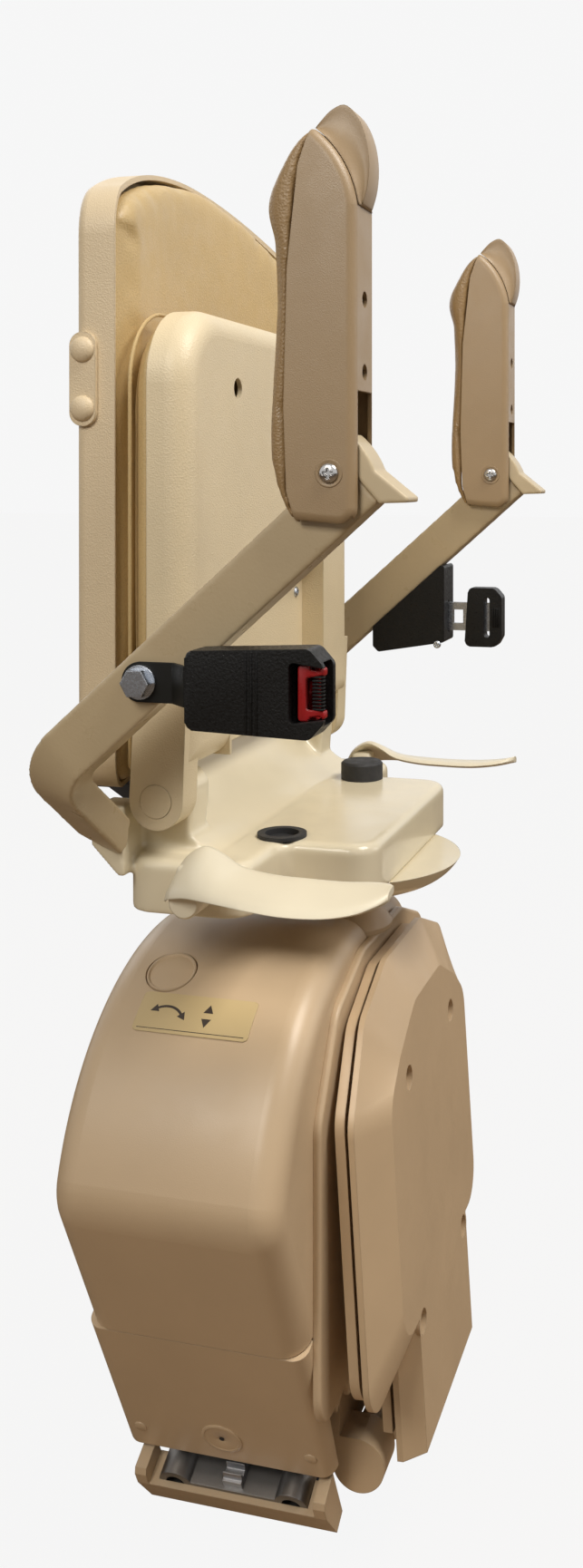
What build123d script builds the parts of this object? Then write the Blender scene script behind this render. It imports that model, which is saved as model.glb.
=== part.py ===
from build123d import *
from math import ceil, cos, floor, pi, radians, sin, sqrt, tan
import os

os.makedirs("parts", exist_ok=True)

# Stairlift chair parked at the lower end of its track. Millimetres, +Z up, the sitter faces -Y.
# Origin: centre of the foot's floor bolt pattern, on the floor. The track climbs towards +X.

# track
track_slope = 27.0
track_top_height = 181.0
track_spacing = 100.0
track_tube_radius = 14.0
track_tube_bore = 8.0
track_web_thickness = 8.0
track_lower_end = -203.0
track_upper_end = 215.0
rack_width = 16.0
rack_height = 12.0
tooth_pitch = 8.0
tooth_height = 5.0
pinion_teeth = 14
end_cap_width = 163.0
end_cap_wall = 5.0
end_cap_length = 26.0
end_cap_depth = 52.0
end_cap_open_above = -13.0
foot_length = 130.0
foot_width = 70.0
foot_plate_thickness = 8.0
foot_hole_spacing_x = 100.0
foot_hole_spacing_y = 44.0
foot_hole_radius = 4.5
foot_post_length = 60.0
foot_post_width = 36.0
foot_bolt_radius = 4.0

# carriage
carriage_half_length = 190.0
carriage_half_depth = 90.0
carriage_middle_y = 4.0
cover_wall = 3.0
cover_arc_radius = 200.0
cover_arc_along = -34.0
cover_arc_above = 176.0
cover_top_flat = 512.0
cover_edge_radius = 22.0
shoulder_radius = 45.0
cover_seam = 0.6
flap_bottom = 9.0
flap_top = 162.0
flap_seam = 0.4
flap_swing = 5.0
flap_thickness = 4.0
flap_return = 26.0
flap_return_slant = 14.0
skirt_bottom = 50.0
skirt_clearance = 2.0
roller_radius = 18.0
roller_width = 20.0
roller_axle_radius = 5.0
roller_base = 220.0
under_roller_radius = 12.0
running_clearance = 0.05
rolling_clearance = 0.3
chassis_plate = 6.0
chassis_half_length = 150.0
chassis_half_width = 72.0
chassis_drop = 52.0
chassis_deck_height = 60.0
gearbox_y = 56.0
gearbox_width = 26.0
gearbox_length = 58.0
motor_radius = 30.0
motor_length = 62.0
battery_length = 74.0
battery_height = 94.0
battery_thickness = 58.0
battery_gap = 4.0
winding_cap_radius = 20.5
winding_cap_depth = 14.0
winding_cap_angle = 64.6
winding_cap_y = 43.0
label_width = 96.0
label_low_angle = 48.6
label_high_angle = 58.5
label_y = 8.0
label_thickness = 0.4

# seat post and swivel
post_x = -52.0
post_y = -60.0
post_radius = 22.5
post_wall = 4.0
post_bottom = 436.0
socket_radius = 27.0
socket_flare_radius = 38.0
socket_top = 526.0
bowl_radius = 98.0
bowl_bottom = 546.0
base_bottom = 567.0
base_top = 608.0
base_skin = 6.0
base_half_width = 126.0
base_front = -60.0
wing_half_width = 200.0
wing_front = 16.0
base_rear = 118.0
upstand_top = 666.0
upstand_half_width = 173.0
upstand_scoop_radius = 92.0
hinge_lug_inner_x = 139.0
upstand_foot_y = 46.0
lever_shaft_y = 53.0
lever_shaft_z = 588.0
lever_shaft_radius = 6.0
lever_reach = 270.0
lever_tip_y = -106.0
lever_tip_z = 618.0
lever_dip_y = -58.0
lever_dip_z = 609.0
lever_root_y = 36.0
lever_root_z = 640.0
lever_thickness = 6.5
lever_hub_x = 232.0

# seat, folded up
seat_half_width = 200.0
seat_underside = 63.0
seat_shell_depth = 34.5
seat_shell_wall = 4.0
seat_edge_radius = 20.0
seat_cushion_depth = 15.0
seat_cushion_crown = 14.0
seat_top = 1029.0
seat_bottom = 673.5
seat_corner_radius = 60.0
pocket_half_width = 120.0
pocket_top = 828.0
pocket_depth = 22.0
hinge_y = 90.0
hinge_z = 652.0
hinge_boss_radius = 22.0
hinge_lug_radius = 18.0
hinge_pin_radius = 6.0
hinge_arm_width = 26.0
hinge_cap_radius = 13.0
buffer_x = 110.0
buffer_y = 22.0
buffer_radius = 20.0

# backrest
back_half_width = 200.0
back_front = 123.5
back_shell_depth = 30.5
back_wall = 4.0
back_cushion_depth = 6.0
back_cushion_crown = 8.0
back_wrap = 30.0
back_bottom = 655.0
back_shoulder = 1125.0
back_apex = 1162.0
back_corner_radius = 46.0
back_bracket_width = 60.0
bolt_cover_radius = 9.0
bolt_cover_low = 930.0
bolt_cover_high = 996.0

# arms, padded armrests folded up
arm_half_spacing = 265.0
bar_height = 40.0
bar_width = 24.0
bar_wall = 3.0
bar_slope = 41.7
bar_front_y = -105.0
bar_cap_length = 14.0
bar_cap_plug = 5.0
bar_cap_flange = 14.0
bar_cap_rise = 7.0
bar_bend_y = 142.0
pivot_y = -77.0
pivot_z = 900.0
pivot_screw_radius = 4.0
pivot_head_radius = 7.0
pad_width = 46.0
pad_wall = 3.0
pad_cover_depth = 9.0
pad_end_centre_y = 60.75
pad_end_centre_z = 167.5
pad_end_radius = 79.4
pad_foot_z = -36.0
pad_edge_radius = 7.0
pad_end_low_angle = 172.4
pad_end_high_angle = 126.9
side_clearance = 0.5
slot_top = 55.0
slot_width = 32.0
slot_drop = 80.0
slot_rear_top = 6.0
cover_hole_radius = 5.5
toggle_width = 34.0
toggle_clearance = 0.5

# seat belt
strap_y = 63.5
strap_thickness = 3.0
strap_height = 28.0
strap_crank = 12.5
strap_bolt_radius = 6.0
buckle_reach = 90.0
buckle_thickness = 26.0
button_height = 44.0
button_thickness = 14.0
button_clearance = 0.3
tongue_slot_width = 5.0
tongue_slot_height = 34.0
retractor_width = 42.0
tongue_thickness = 2.5

# footrest, folded up
footrest_lean = 3.5
footrest_half_width = 165.0
footrest_foot_half_width = 90.0
footrest_top = 496.0
footrest_bottom = 103.0
footrest_hinge_y = -36.0
footrest_hinge_z = 94.0
footrest_pin_radius = 6.0
footrest_pin_cover = 4.0
footrest_barrel_radius = 22.0
footrest_knuckle_inner = 58.0
footrest_plane_y = -45.0
footrest_step = 75.0
footrest_shoulder_drop = 90.0
pan_rim = 5.0
pan_bevel = 19.0
pan_bevel_inset = 38.0
pan_foot_inset = 6.0
pan_gap = 4.0
pan_wall = 3.0
pan_screw_x = 73.0
pan_screw_low = 208.0
pan_screw_high = 406.0
pan_recess_radius = 9.5
tray_depth = 8.0
tray_inset = 5.0
front_cover_thickness = 6.0
front_cover_half_width = 173.0
front_cover_bottom = 156.0

skirt_half_length = carriage_half_length - flap_return - skirt_clearance
slope = radians(track_slope)
along = (cos(slope), 0, sin(slope))
back_radius = (back_half_width**2 + back_wrap**2) / (2 * back_wrap)


def side_plane(x):
    """Sketch in (y, z) from the swivel axis; extrudes towards +X."""
    return Plane(origin=(post_x + x, post_y, 0), x_dir=(0, 1, 0), z_dir=(1, 0, 0))


def front_plane(y):
    """Sketch in (x, z) from the swivel axis; extrudes towards -Y, the front."""
    return Plane(origin=(post_x, post_y + y, 0), x_dir=(1, 0, 0), z_dir=(0, -1, 0))


def level_plane(z):
    """Sketch in (x, y) from the swivel axis at height z; extrudes upwards."""
    return Plane(origin=(post_x, post_y, z))


def track_plane(y):
    """Sketch in (along, above) the track's top face; extrudes towards -Y."""
    return Plane(origin=(0, y, track_top_height), x_dir=along, z_dir=(0, -1, 0))


def across_track_plane(distance):
    """Sketch in (y, above) square to the track; extrudes uphill along it."""
    foot = (distance * cos(slope), 0, track_top_height + distance * sin(slope))
    return Plane(origin=foot, x_dir=(0, 1, 0), z_dir=along)


def save(builder, name):
    builder.part.label = name
    export_step(builder.part, "parts/" + name + ".step")


# ---------------------------------------------------------------- track
tube_above = -track_tube_radius
track_length = track_upper_end - track_lower_end
web_top = tube_above + track_web_thickness / 2

with BuildPart() as track_rail:
    with BuildSketch(across_track_plane(track_lower_end)):
        with Locations((-track_spacing / 2, tube_above), (track_spacing / 2, tube_above)):
            Circle(track_tube_radius)
        with Locations((0, tube_above)):
            Rectangle(track_spacing, track_web_thickness)
        with Locations((-track_spacing / 2, tube_above), (track_spacing / 2, tube_above)):
            Circle(track_tube_bore, mode=Mode.SUBTRACT)
    extrude(amount=track_length)
save(track_rail, "track_rail")

first_tooth = ceil(track_lower_end / tooth_pitch)
last_tooth = floor(track_upper_end / tooth_pitch)
rack_back = rack_height - tooth_height
with BuildPart() as track_rack:
    with BuildSketch(track_plane(rack_width / 2)):
        with BuildLine():
            points = [(first_tooth * tooth_pitch, web_top)]
            for tooth in range(first_tooth, last_tooth):
                start = tooth * tooth_pitch
                points.append((start, web_top + rack_back))
                points.append((start + tooth_pitch * 0.30, web_top + rack_back))
                points.append((start + tooth_pitch * 0.45, web_top + rack_height))
                points.append((start + tooth_pitch * 0.55, web_top + rack_height))
                points.append((start + tooth_pitch * 0.70, web_top + rack_back))
            points.append((last_tooth * tooth_pitch, web_top + rack_back))
            points.append((last_tooth * tooth_pitch, web_top))
            Polyline(*points, close=True)
        make_face()
    extrude(amount=rack_width)
save(track_rack, "track_rack")

cap_near = track_lower_end - end_cap_wall
with BuildPart() as track_end_cap:
    with BuildSketch(track_plane(end_cap_width / 2)):
        with BuildLine():
            Polyline(
                (cap_near + end_cap_length, end_cap_wall / 2),
                (cap_near + 3, end_cap_wall / 2),
                (cap_near, -2),
                (cap_near, -14),
                (cap_near + 10, -end_cap_depth),
                (cap_near + end_cap_length, -end_cap_depth),
                close=True,
            )
        make_face()
    extrude(amount=end_cap_width)
    with BuildSketch(across_track_plane(track_lower_end)):
        with Locations((-track_spacing / 2, tube_above), (track_spacing / 2, tube_above)):
            Circle(track_tube_radius + rolling_clearance)
        with Locations((0, tube_above)):
            Rectangle(track_spacing, track_web_thickness + 2 * rolling_clearance)
        with Locations((0, web_top + rack_height / 2)):
            Rectangle(rack_width + 4, rack_height + 4)
    extrude(amount=end_cap_length, mode=Mode.SUBTRACT)
    with BuildSketch(track_plane(end_cap_width / 2 - end_cap_wall)):
        with Locations((cap_near + end_cap_length / 2 + end_cap_wall + 6, -end_cap_depth / 2 - 12)):
            Rectangle(end_cap_length, end_cap_depth - 24)
    extrude(amount=end_cap_width - 2 * end_cap_wall, mode=Mode.SUBTRACT)
    with BuildSketch(across_track_plane(cap_near - 1)):
        with Locations((0, end_cap_open_above)):
            Rectangle(end_cap_width - 4 * end_cap_wall, end_cap_depth, align=(Align.CENTER, Align.MIN))
    extrude(amount=end_cap_length + 2, mode=Mode.SUBTRACT)
save(track_end_cap, "track_end_cap")

web_bottom = tube_above - track_web_thickness / 2
with BuildPart() as track_foot:
    with BuildSketch(Plane.XY):
        RectangleRounded(foot_length, foot_width, 8)
        with GridLocations(foot_hole_spacing_x, foot_hole_spacing_y, 2, 2):
            Circle(foot_hole_radius, mode=Mode.SUBTRACT)
    extrude(amount=foot_plate_thickness)
    with BuildSketch(Plane.XY.offset(foot_plate_thickness)):
        Rectangle(foot_post_length, foot_post_width)
    extrude(amount=track_top_height)
    with BuildSketch(track_plane(foot_width)):
        with Locations((0, web_bottom)):
            Rectangle(4 * foot_length, 4 * foot_length, align=(Align.CENTER, Align.MIN))
    extrude(amount=2 * foot_width, mode=Mode.SUBTRACT)
    with BuildSketch(Plane.XZ.offset(-foot_width)):
        with Locations((0, foot_plate_thickness + 26)):
            Rectangle(foot_post_length - 24, 36)
    extrude(amount=2 * foot_width, mode=Mode.SUBTRACT)
save(track_foot, "track_foot")

bolt_plane = track_plane(0)
with BuildPart() as track_foot_bolts:
    for distance, side in ((-14, -13), (14, -13), (-14, 13), (14, 13)):
        head_plane = Plane(
            origin=bolt_plane.from_local_coords((distance, web_top, side)),
            x_dir=(0, 1, 0),
            z_dir=bolt_plane.y_dir,
        )
        with BuildSketch(head_plane):
            Circle(foot_bolt_radius)
        extrude(amount=3)
save(track_foot_bolts, "track_foot_bolts")


# ---------------------------------------------------------------- carriage
def track_point(distance, above):
    """World (x, z) of a point given along and above the track."""
    x = distance * cos(slope) - above * sin(slope)
    z = track_top_height + distance * sin(slope) + above * cos(slope)
    return (x, z)


arc_centre = track_point(cover_arc_along, cover_arc_above)


def carriage_body(inset, bottom):
    """The carriage's outer form, drawn in by inset, its skirts down to bottom."""
    end = carriage_half_length - inset
    skirt = skirt_half_length - inset
    radius = cover_arc_radius - inset
    flat = cover_top_flat - inset
    floor_above = flap_top + inset
    end_reach = end + cover_arc_along
    near_high = cover_arc_above + sqrt(radius**2 - end_reach**2)
    flat_x = arc_centre[0] + sqrt(radius**2 - (flat - arc_centre[1]) ** 2)
    mid_angle = radians(112)
    arc_mid = (arc_centre[0] + radius * cos(mid_angle), arc_centre[1] + radius * sin(mid_angle))
    far_above = (flat - track_top_height - end * sin(slope)) / cos(slope)
    with BuildPart() as body:
        with BuildSketch(Plane.XZ.offset(-carriage_middle_y - carriage_half_depth + inset)) as profile:
            with BuildLine():
                start = track_point(-end, near_high)
                Polyline(
                    start,
                    track_point(-end, floor_above),
                    track_point(-skirt, floor_above),
                    track_point(-skirt, bottom),
                    track_point(skirt, bottom),
                    track_point(skirt, floor_above),
                    track_point(end, floor_above),
                    track_point(end, far_above),
                    (flat_x, flat),
                )
                ThreePointArc((flat_x, flat), arc_mid, start)
            make_face()
            corners = [
                profile.vertices().sort_by_distance(corner)[0]
                for corner in (start, (flat_x, flat), track_point(end, far_above))
            ]
            fillet(corners, shoulder_radius - inset)
        extrude(amount=2 * (carriage_half_depth - inset))
        rounded = [
            edge
            for edge in body.edges()
            if abs(abs(edge.center().Y - carriage_middle_y) - carriage_half_depth + inset) < 0.01
            and track_plane(0).to_local_coords(edge.center()).Y > flap_top + inset + 2
        ]
        fillet(rounded, cover_edge_radius - inset)
    return body.part


winding_direction = (cos(radians(180 - winding_cap_angle)), 0, sin(radians(180 - winding_cap_angle)))


def winding_plane(radius):
    """Square to the domed end cover at the hand-winding socket."""
    return Plane(
        origin=(
            arc_centre[0] + radius * winding_direction[0],
            winding_cap_y,
            arc_centre[1] + radius * winding_direction[2],
        ),
        x_dir=(0, 1, 0),
        z_dir=winding_direction,
    )


outer_body = carriage_body(0, skirt_bottom)
inner_body = carriage_body(cover_wall, skirt_bottom - 10)
half_span = 2 * carriage_half_length

for name, side in (("lower_end_cover", -1), ("upper_end_cover", 1)):
    with BuildPart() as end_cover:
        add(outer_body)
        add(inner_body, mode=Mode.SUBTRACT)
        with BuildSketch(level_plane(post_bottom - 14)):
            Circle(socket_flare_radius + 1.5)
        extrude(amount=socket_top - post_bottom + 14, mode=Mode.SUBTRACT)
        with BuildSketch(Plane.XZ.offset(-half_span)):
            with Locations((post_x + side * (half_span + cover_seam / 2), cover_top_flat)):
                Rectangle(2 * half_span, 3 * half_span)
        extrude(amount=2 * half_span, mode=Mode.INTERSECT)
        if side < 0:
            with BuildSketch(winding_plane(cover_arc_radius - 10)):
                Circle(winding_cap_radius + 0.4)
            extrude(amount=20, mode=Mode.SUBTRACT)
            with BuildSketch(winding_plane(cover_arc_radius - cover_wall - 8)):
                Circle(winding_cap_radius + 3.4)
                Circle(winding_cap_radius + 0.4, mode=Mode.SUBTRACT)
            extrude(amount=9)
    save(end_cover, name)

with BuildPart() as hand_winding_cap:
    with BuildSketch(winding_plane(cover_arc_radius - winding_cap_depth)):
        Circle(winding_cap_radius)
    extrude(amount=winding_cap_depth - 1.5)
    fillet(hand_winding_cap.faces().sort_by(Axis(winding_plane(0).origin, winding_direction))[-1].edges(), 1.5)
    with BuildSketch(winding_plane(cover_arc_radius - winding_cap_depth - 22)):
        RegularPolygon(7, 6)
    extrude(amount=22)
save(hand_winding_cap, "hand_winding_cap")

label_start = 180 - label_high_angle
with BuildPart() as direction_label:
    with BuildSketch(Plane.XZ.offset(-label_y - label_width / 2)):
        with BuildLine():
            label_sweep = label_high_angle - label_low_angle
            outer = CenterArc(arc_centre, cover_arc_radius + label_thickness, label_start, label_sweep)
            inner = CenterArc(arc_centre, cover_arc_radius + running_clearance, label_start, label_sweep)
            Line(outer @ 0, inner @ 0)
            Line(outer @ 1, inner @ 1)
        make_face()
    extrude(amount=label_width)
save(direction_label, "direction_label")

# end flaps that stop the carriage when pressed
for name, side in (("lower_safety_flap", -1), ("upper_safety_flap", 1)):
    with BuildPart() as safety_flap:
        flap_outer = side * carriage_half_length
        flap_inner = side * (carriage_half_length - flap_return)
        swing_room = flap_return * tan(radians(flap_swing)) + side_clearance
        with BuildSketch(track_plane(carriage_middle_y + carriage_half_depth)):
            with BuildLine():
                Polyline(
                    (flap_outer, flap_top - flap_seam),
                    (flap_inner, flap_top - flap_seam - swing_room),
                    (flap_inner + side * flap_return_slant * 0.7, skirt_bottom + 20),
                    (flap_inner + side * flap_return_slant, flap_bottom),
                    (flap_outer, flap_bottom),
                    close=True,
                )
            make_face()
        extrude(amount=2 * carriage_half_depth)
        upright = safety_flap.edges().filter_by(Axis((0, 0, 0), track_plane(0).y_dir))
        outer_edges = [
            edge for edge in upright
            if abs(track_plane(0).to_local_coords(edge.center()).X - flap_outer) < 0.1
        ]
        fillet(outer_edges, 12)
        with BuildSketch(track_plane(carriage_middle_y + carriage_half_depth - flap_thickness)):
            with Locations((flap_inner, flap_top - flap_seam - swing_room - flap_thickness)):
                Rectangle(2 * (flap_return - flap_thickness), 3 * flap_top, align=(Align.CENTER, Align.MAX))
        extrude(amount=2 * (carriage_half_depth - flap_thickness), mode=Mode.SUBTRACT)
    save(safety_flap, name)

# chassis: a deck with two cheek plates that straddle the track, and a post housing
deck = chassis_deck_height
cheek_y = chassis_half_width - chassis_plate
roller_above = roller_radius + rolling_clearance
under_above = -2 * track_tube_radius - under_roller_radius - rolling_clearance
with BuildPart() as carriage_chassis:
    for cheek in (-cheek_y, chassis_half_width):
        with BuildSketch(track_plane(cheek)):
            with BuildLine():
                Polyline(
                    (-chassis_half_length, deck + chassis_plate),
                    (chassis_half_length, deck + chassis_plate),
                    (chassis_half_length, -8),
                    (40, -chassis_drop),
                    (-40, -chassis_drop),
                    (-chassis_half_length, -8),
                    close=True,
                )
            make_face()
            with Locations((-roller_base / 2, roller_above), (roller_base / 2, roller_above)):
                Circle(roller_axle_radius, mode=Mode.SUBTRACT)
            with Locations((0, under_above)):
                Circle(roller_axle_radius, mode=Mode.SUBTRACT)
        extrude(amount=chassis_plate)
    with BuildSketch(track_plane(cheek_y)):
        with Locations((0, deck + chassis_plate / 2)):
            Rectangle(2 * chassis_half_length, chassis_plate)
    extrude(amount=2 * cheek_y)
    with BuildSketch(track_plane(gearbox_y + 2)):
        with Locations((0, deck)):
            Rectangle(gearbox_length + 4, chassis_plate * 4)
    extrude(amount=gearbox_y + 12, mode=Mode.SUBTRACT)
save(carriage_chassis, "carriage_chassis")

with BuildPart() as post_socket:
    with BuildSketch(level_plane(post_bottom - 10)):
        Circle(socket_radius)
    extrude(amount=socket_top - post_bottom + 10)
    with BuildSketch(level_plane(track_top_height)):
        with Locations((0, 5)):
            Rectangle(30, 40)
    extrude(amount=post_bottom - track_top_height - 5)
    with BuildSketch(track_plane(chassis_half_width)):
        with Locations((0, deck + chassis_plate)):
            Rectangle(4 * chassis_half_length, chassis_half_length, align=(Align.CENTER, Align.MAX))
    extrude(amount=3 * chassis_half_width, mode=Mode.SUBTRACT)
    with BuildSketch(side_plane(0)):
        with BuildLine():
            Polyline(
                (0, cover_top_flat - 16),
                (socket_flare_radius, cover_top_flat - 16),
                (socket_flare_radius, cover_top_flat - 4),
                (socket_radius, socket_top - 2),
                (0, socket_top - 2),
                close=True,
            )
        make_face()
    revolve(axis=Axis((post_x, post_y, 0), (0, 0, 1)))
    with BuildSketch(level_plane(post_bottom - 0.2)):
        Circle(post_radius + running_clearance)
    extrude(amount=300, mode=Mode.SUBTRACT)
    with BuildSketch(level_plane(track_top_height)):
        with Locations((0, carriage_middle_y - carriage_half_depth - post_y + side_clearance)):
            Rectangle(100, 100, align=(Align.CENTER, Align.MAX))
    extrude(amount=cover_top_flat - track_top_height - 8, mode=Mode.SUBTRACT)
    chamfer(post_socket.faces().sort_by(Axis.Z)[-1].edges().filter_by(GeomType.CIRCLE), 1.5)
save(post_socket, "post_socket")

# running gear
def roller_pair(distance, above, radius):
    """Two rollers on one axle line, one on each tube of the track."""
    with BuildPart() as wheels:
        for side in (-1, 1):
            with BuildSketch(track_plane(side * track_spacing / 2 + roller_width / 2)):
                with Locations((distance, above)):
                    Circle(radius)
                    Circle(roller_axle_radius + running_clearance, mode=Mode.SUBTRACT)
            extrude(amount=roller_width)
        chamfer(wheels.edges().filter_by(GeomType.CIRCLE).group_by(SortBy.RADIUS)[-1], 1.5)
    return wheels


save(roller_pair(-roller_base / 2, roller_above, roller_radius), "lower_axle_rollers")
save(roller_pair(roller_base / 2, roller_above, roller_radius), "upper_axle_rollers")
save(roller_pair(0, under_above, under_roller_radius), "under_rollers")

with BuildPart() as roller_axles:
    for distance in (-roller_base / 2, roller_base / 2):
        with BuildSketch(track_plane(chassis_half_width)):
            with Locations((distance, roller_above)):
                Circle(roller_axle_radius)
        extrude(amount=2 * chassis_half_width)
    for start in (chassis_half_width, -chassis_half_width + 36):
        with BuildSketch(track_plane(start)):
            with Locations((0, under_above)):
                Circle(roller_axle_radius)
        extrude(amount=36)
save(roller_axles, "roller_axles")

pitch_radius = pinion_teeth * tooth_pitch / (2 * pi)
pinion_above = web_top + rack_height - tooth_height / 2 + pitch_radius + rolling_clearance
root_radius = pitch_radius - tooth_height / 2 - 0.3
tip_radius = pitch_radius + tooth_height / 2 - 0.5
with BuildPart() as drive_pinion:
    with BuildSketch(track_plane(rack_width / 2 - 1)):
        with Locations((0, pinion_above)):
            Circle(root_radius)
            with PolarLocations(root_radius - 1, pinion_teeth, start_angle=-90):
                Polygon(
                    (0, tooth_pitch * 0.22),
                    (0, -tooth_pitch * 0.22),
                    (tip_radius - root_radius + 1, -tooth_pitch * 0.06),
                    (tip_radius - root_radius + 1, tooth_pitch * 0.06),
                    align=None,
                )
    extrude(amount=rack_width - 2)
    with BuildSketch(track_plane(gearbox_y)):
        with Locations((0, pinion_above)):
            Circle(roller_axle_radius)
    extrude(amount=gearbox_y - rack_width / 2 + 1)
save(drive_pinion, "drive_pinion")

motor_above = deck + chassis_plate + motor_radius + 4
with BuildPart() as drive_gearbox:
    with BuildSketch(track_plane(gearbox_y)):
        with Locations((0, (pinion_above + motor_above) / 2)):
            RectangleRounded(gearbox_length, motor_above - pinion_above + 30, 10)
        with Locations((0, pinion_above)):
            Circle(roller_axle_radius + running_clearance, mode=Mode.SUBTRACT)
    extrude(amount=gearbox_width)
save(drive_gearbox, "drive_gearbox")

motor_y = gearbox_y - gearbox_width
with BuildPart() as drive_motor:
    with BuildSketch(track_plane(motor_y)):
        with Locations((0, motor_above)):
            Circle(motor_radius)
    extrude(amount=motor_length)
    fillet(drive_motor.faces().sort_by(Axis.Y)[0].edges(), 3)
save(drive_motor, "drive_motor")

battery_along = -(skirt_half_length - cover_wall - battery_gap - battery_length / 2)
with BuildPart() as battery_pack:
    for y in (-battery_gap / 2, battery_thickness + battery_gap / 2):
        with BuildSketch(track_plane(y)):
            with Locations((battery_along, deck + chassis_plate + battery_height / 2)):
                RectangleRounded(battery_length, battery_height, 3)
        extrude(amount=battery_thickness)
save(battery_pack, "battery_pack")

# ---------------------------------------------------------------- carriage front and footrest
def footrest_outline(inset, foot_inset):
    """The footrest in (x, z): wide above, a narrower foot below; each drawn in by its inset."""
    wide = footrest_half_width - inset
    foot = footrest_foot_half_width - foot_inset
    low = footrest_bottom + foot_inset
    step = footrest_bottom + footrest_step + inset
    top = footrest_top - inset
    shoulder = footrest_top - footrest_shoulder_drop
    with BuildSketch() as outline:
        with BuildLine():
            Polyline(
                (0, low),
                (foot, low),
                (foot, step),
                (wide, step),
                (wide, shoulder),
                (wide * 0.74, top - 26),
                (wide * 0.34, top),
                (0, top),
                close=True,
            )
        make_face()
        rounded = ((wide, step), (wide, shoulder), (wide * 0.74, top - 26), (wide * 0.34, top))
        fillet([outline.vertices().sort_by_distance((*point, 0))[0] for point in rounded], 30)
        mirror(about=Plane.YZ)
    return outline.sketch


lean = radians(footrest_lean)


def footrest_plane(offset):
    """The footrest's plane, leaning back at the top; offset is towards the front."""
    return Plane(
        origin=(post_x, post_y + footrest_plane_y, footrest_top),
        x_dir=(1, 0, 0),
        z_dir=(0, -cos(lean), sin(lean)),
    ).offset(offset)


def on_footrest(sketch):
    return sketch.moved(Location((0, -footrest_top, 0)))


front_y = carriage_middle_y - carriage_half_depth
cover_face_plane = Plane(origin=(post_x, front_y, 0), x_dir=(1, 0, 0), z_dir=(0, -1, 0))
with BuildPart() as carriage_front_cover:
    with BuildSketch(cover_face_plane):
        cover_inset = footrest_half_width - front_cover_half_width
        add(footrest_outline(cover_inset, cover_inset))
        with Locations((0, 0)):
            Rectangle(4 * front_cover_half_width, 2 * front_cover_bottom, mode=Mode.SUBTRACT)
    extrude(amount=front_cover_thickness)
    fillet(carriage_front_cover.faces().sort_by(Axis.Y)[0].edges(), 3)
save(carriage_front_cover, "carriage_front_cover")


def footrest_block(offset, inset, foot_inset):
    """A face of the footrest's outline at a distance in front of the pan's rear rim."""
    with BuildSketch(footrest_plane(offset)) as block:
        add(on_footrest(footrest_outline(inset, foot_inset)))
    return block.sketch


with BuildPart() as footrest_pan:
    extrude(footrest_block(0, 0, 0), amount=pan_rim)
    loft(
        [
            footrest_block(pan_rim, 0, 0).face(),
            footrest_block(pan_rim + pan_bevel, pan_bevel_inset, pan_foot_inset).face(),
        ]
    )
    extrude(footrest_block(0, pan_wall, pan_wall), amount=pan_rim, mode=Mode.SUBTRACT)
    loft(
        [
            footrest_block(pan_rim, pan_wall, pan_wall).face(),
            footrest_block(pan_rim + pan_bevel - pan_wall, pan_bevel_inset, 2 * pan_foot_inset).face(),
        ],
        mode=Mode.SUBTRACT,
    )
    pan_depth = pan_rim + pan_bevel
    screw_places = [
        (side * pan_screw_x, height - footrest_top)
        for height in (pan_screw_low, pan_screw_high)
        for side in (-1, 1)
    ]
    with BuildSketch(footrest_plane(pan_wall)):
        with Locations(*screw_places):
            Circle(pan_recess_radius + pan_wall)
    extrude(amount=pan_depth - pan_wall)
    with BuildSketch(footrest_plane(2 * pan_wall)):
        with Locations(*screw_places):
            Circle(pan_recess_radius)
    extrude(amount=pan_depth, mode=Mode.SUBTRACT)
    with BuildSketch(footrest_plane(0)):
        with Locations(*screw_places):
            Circle(2.5)
    extrude(amount=pan_depth, mode=Mode.SUBTRACT)
save(footrest_pan, "footrest_pan")

with BuildPart() as pan_screws:
    with BuildSketch(footrest_plane(2 * pan_wall)):
        with Locations(*screw_places):
            Circle(4.5)
    extrude(amount=3)
    with BuildSketch(footrest_plane(-pan_gap)):
        with Locations(*screw_places):
            Circle(2.3)
    extrude(amount=2 * pan_wall + pan_gap)
save(pan_screws, "pan_screws")

knuckle_width = 2 * (footrest_knuckle_inner - side_clearance)
barrel_top = footrest_hinge_z + footrest_barrel_radius
with BuildPart() as footrest_tray:
    extrude(footrest_block(-pan_gap, tray_inset, tray_inset), amount=-tray_depth)
    with BuildSketch(front_plane(-300)):
        with Locations((0, 0)):
            Rectangle(1000, 2 * (barrel_top + 6))
    extrude(amount=-600, mode=Mode.SUBTRACT)
    with BuildSketch(side_plane(-knuckle_width / 2)):
        with BuildLine():
            Polyline(
                (footrest_hinge_y - 13, footrest_hinge_z),
                (footrest_hinge_y - 29, footrest_hinge_z + 6),
                (footrest_hinge_y - 25, footrest_hinge_z + 60),
                (footrest_hinge_y - 19, footrest_hinge_z + 60),
                (footrest_hinge_y - 9, footrest_hinge_z + 8),
                close=True,
            )
        make_face()
        with Locations((footrest_hinge_y, footrest_hinge_z)):
            Circle(14)
            Circle(footrest_pin_radius + running_clearance, mode=Mode.SUBTRACT)
    extrude(amount=knuckle_width)
save(footrest_tray, "footrest_tray")

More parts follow.
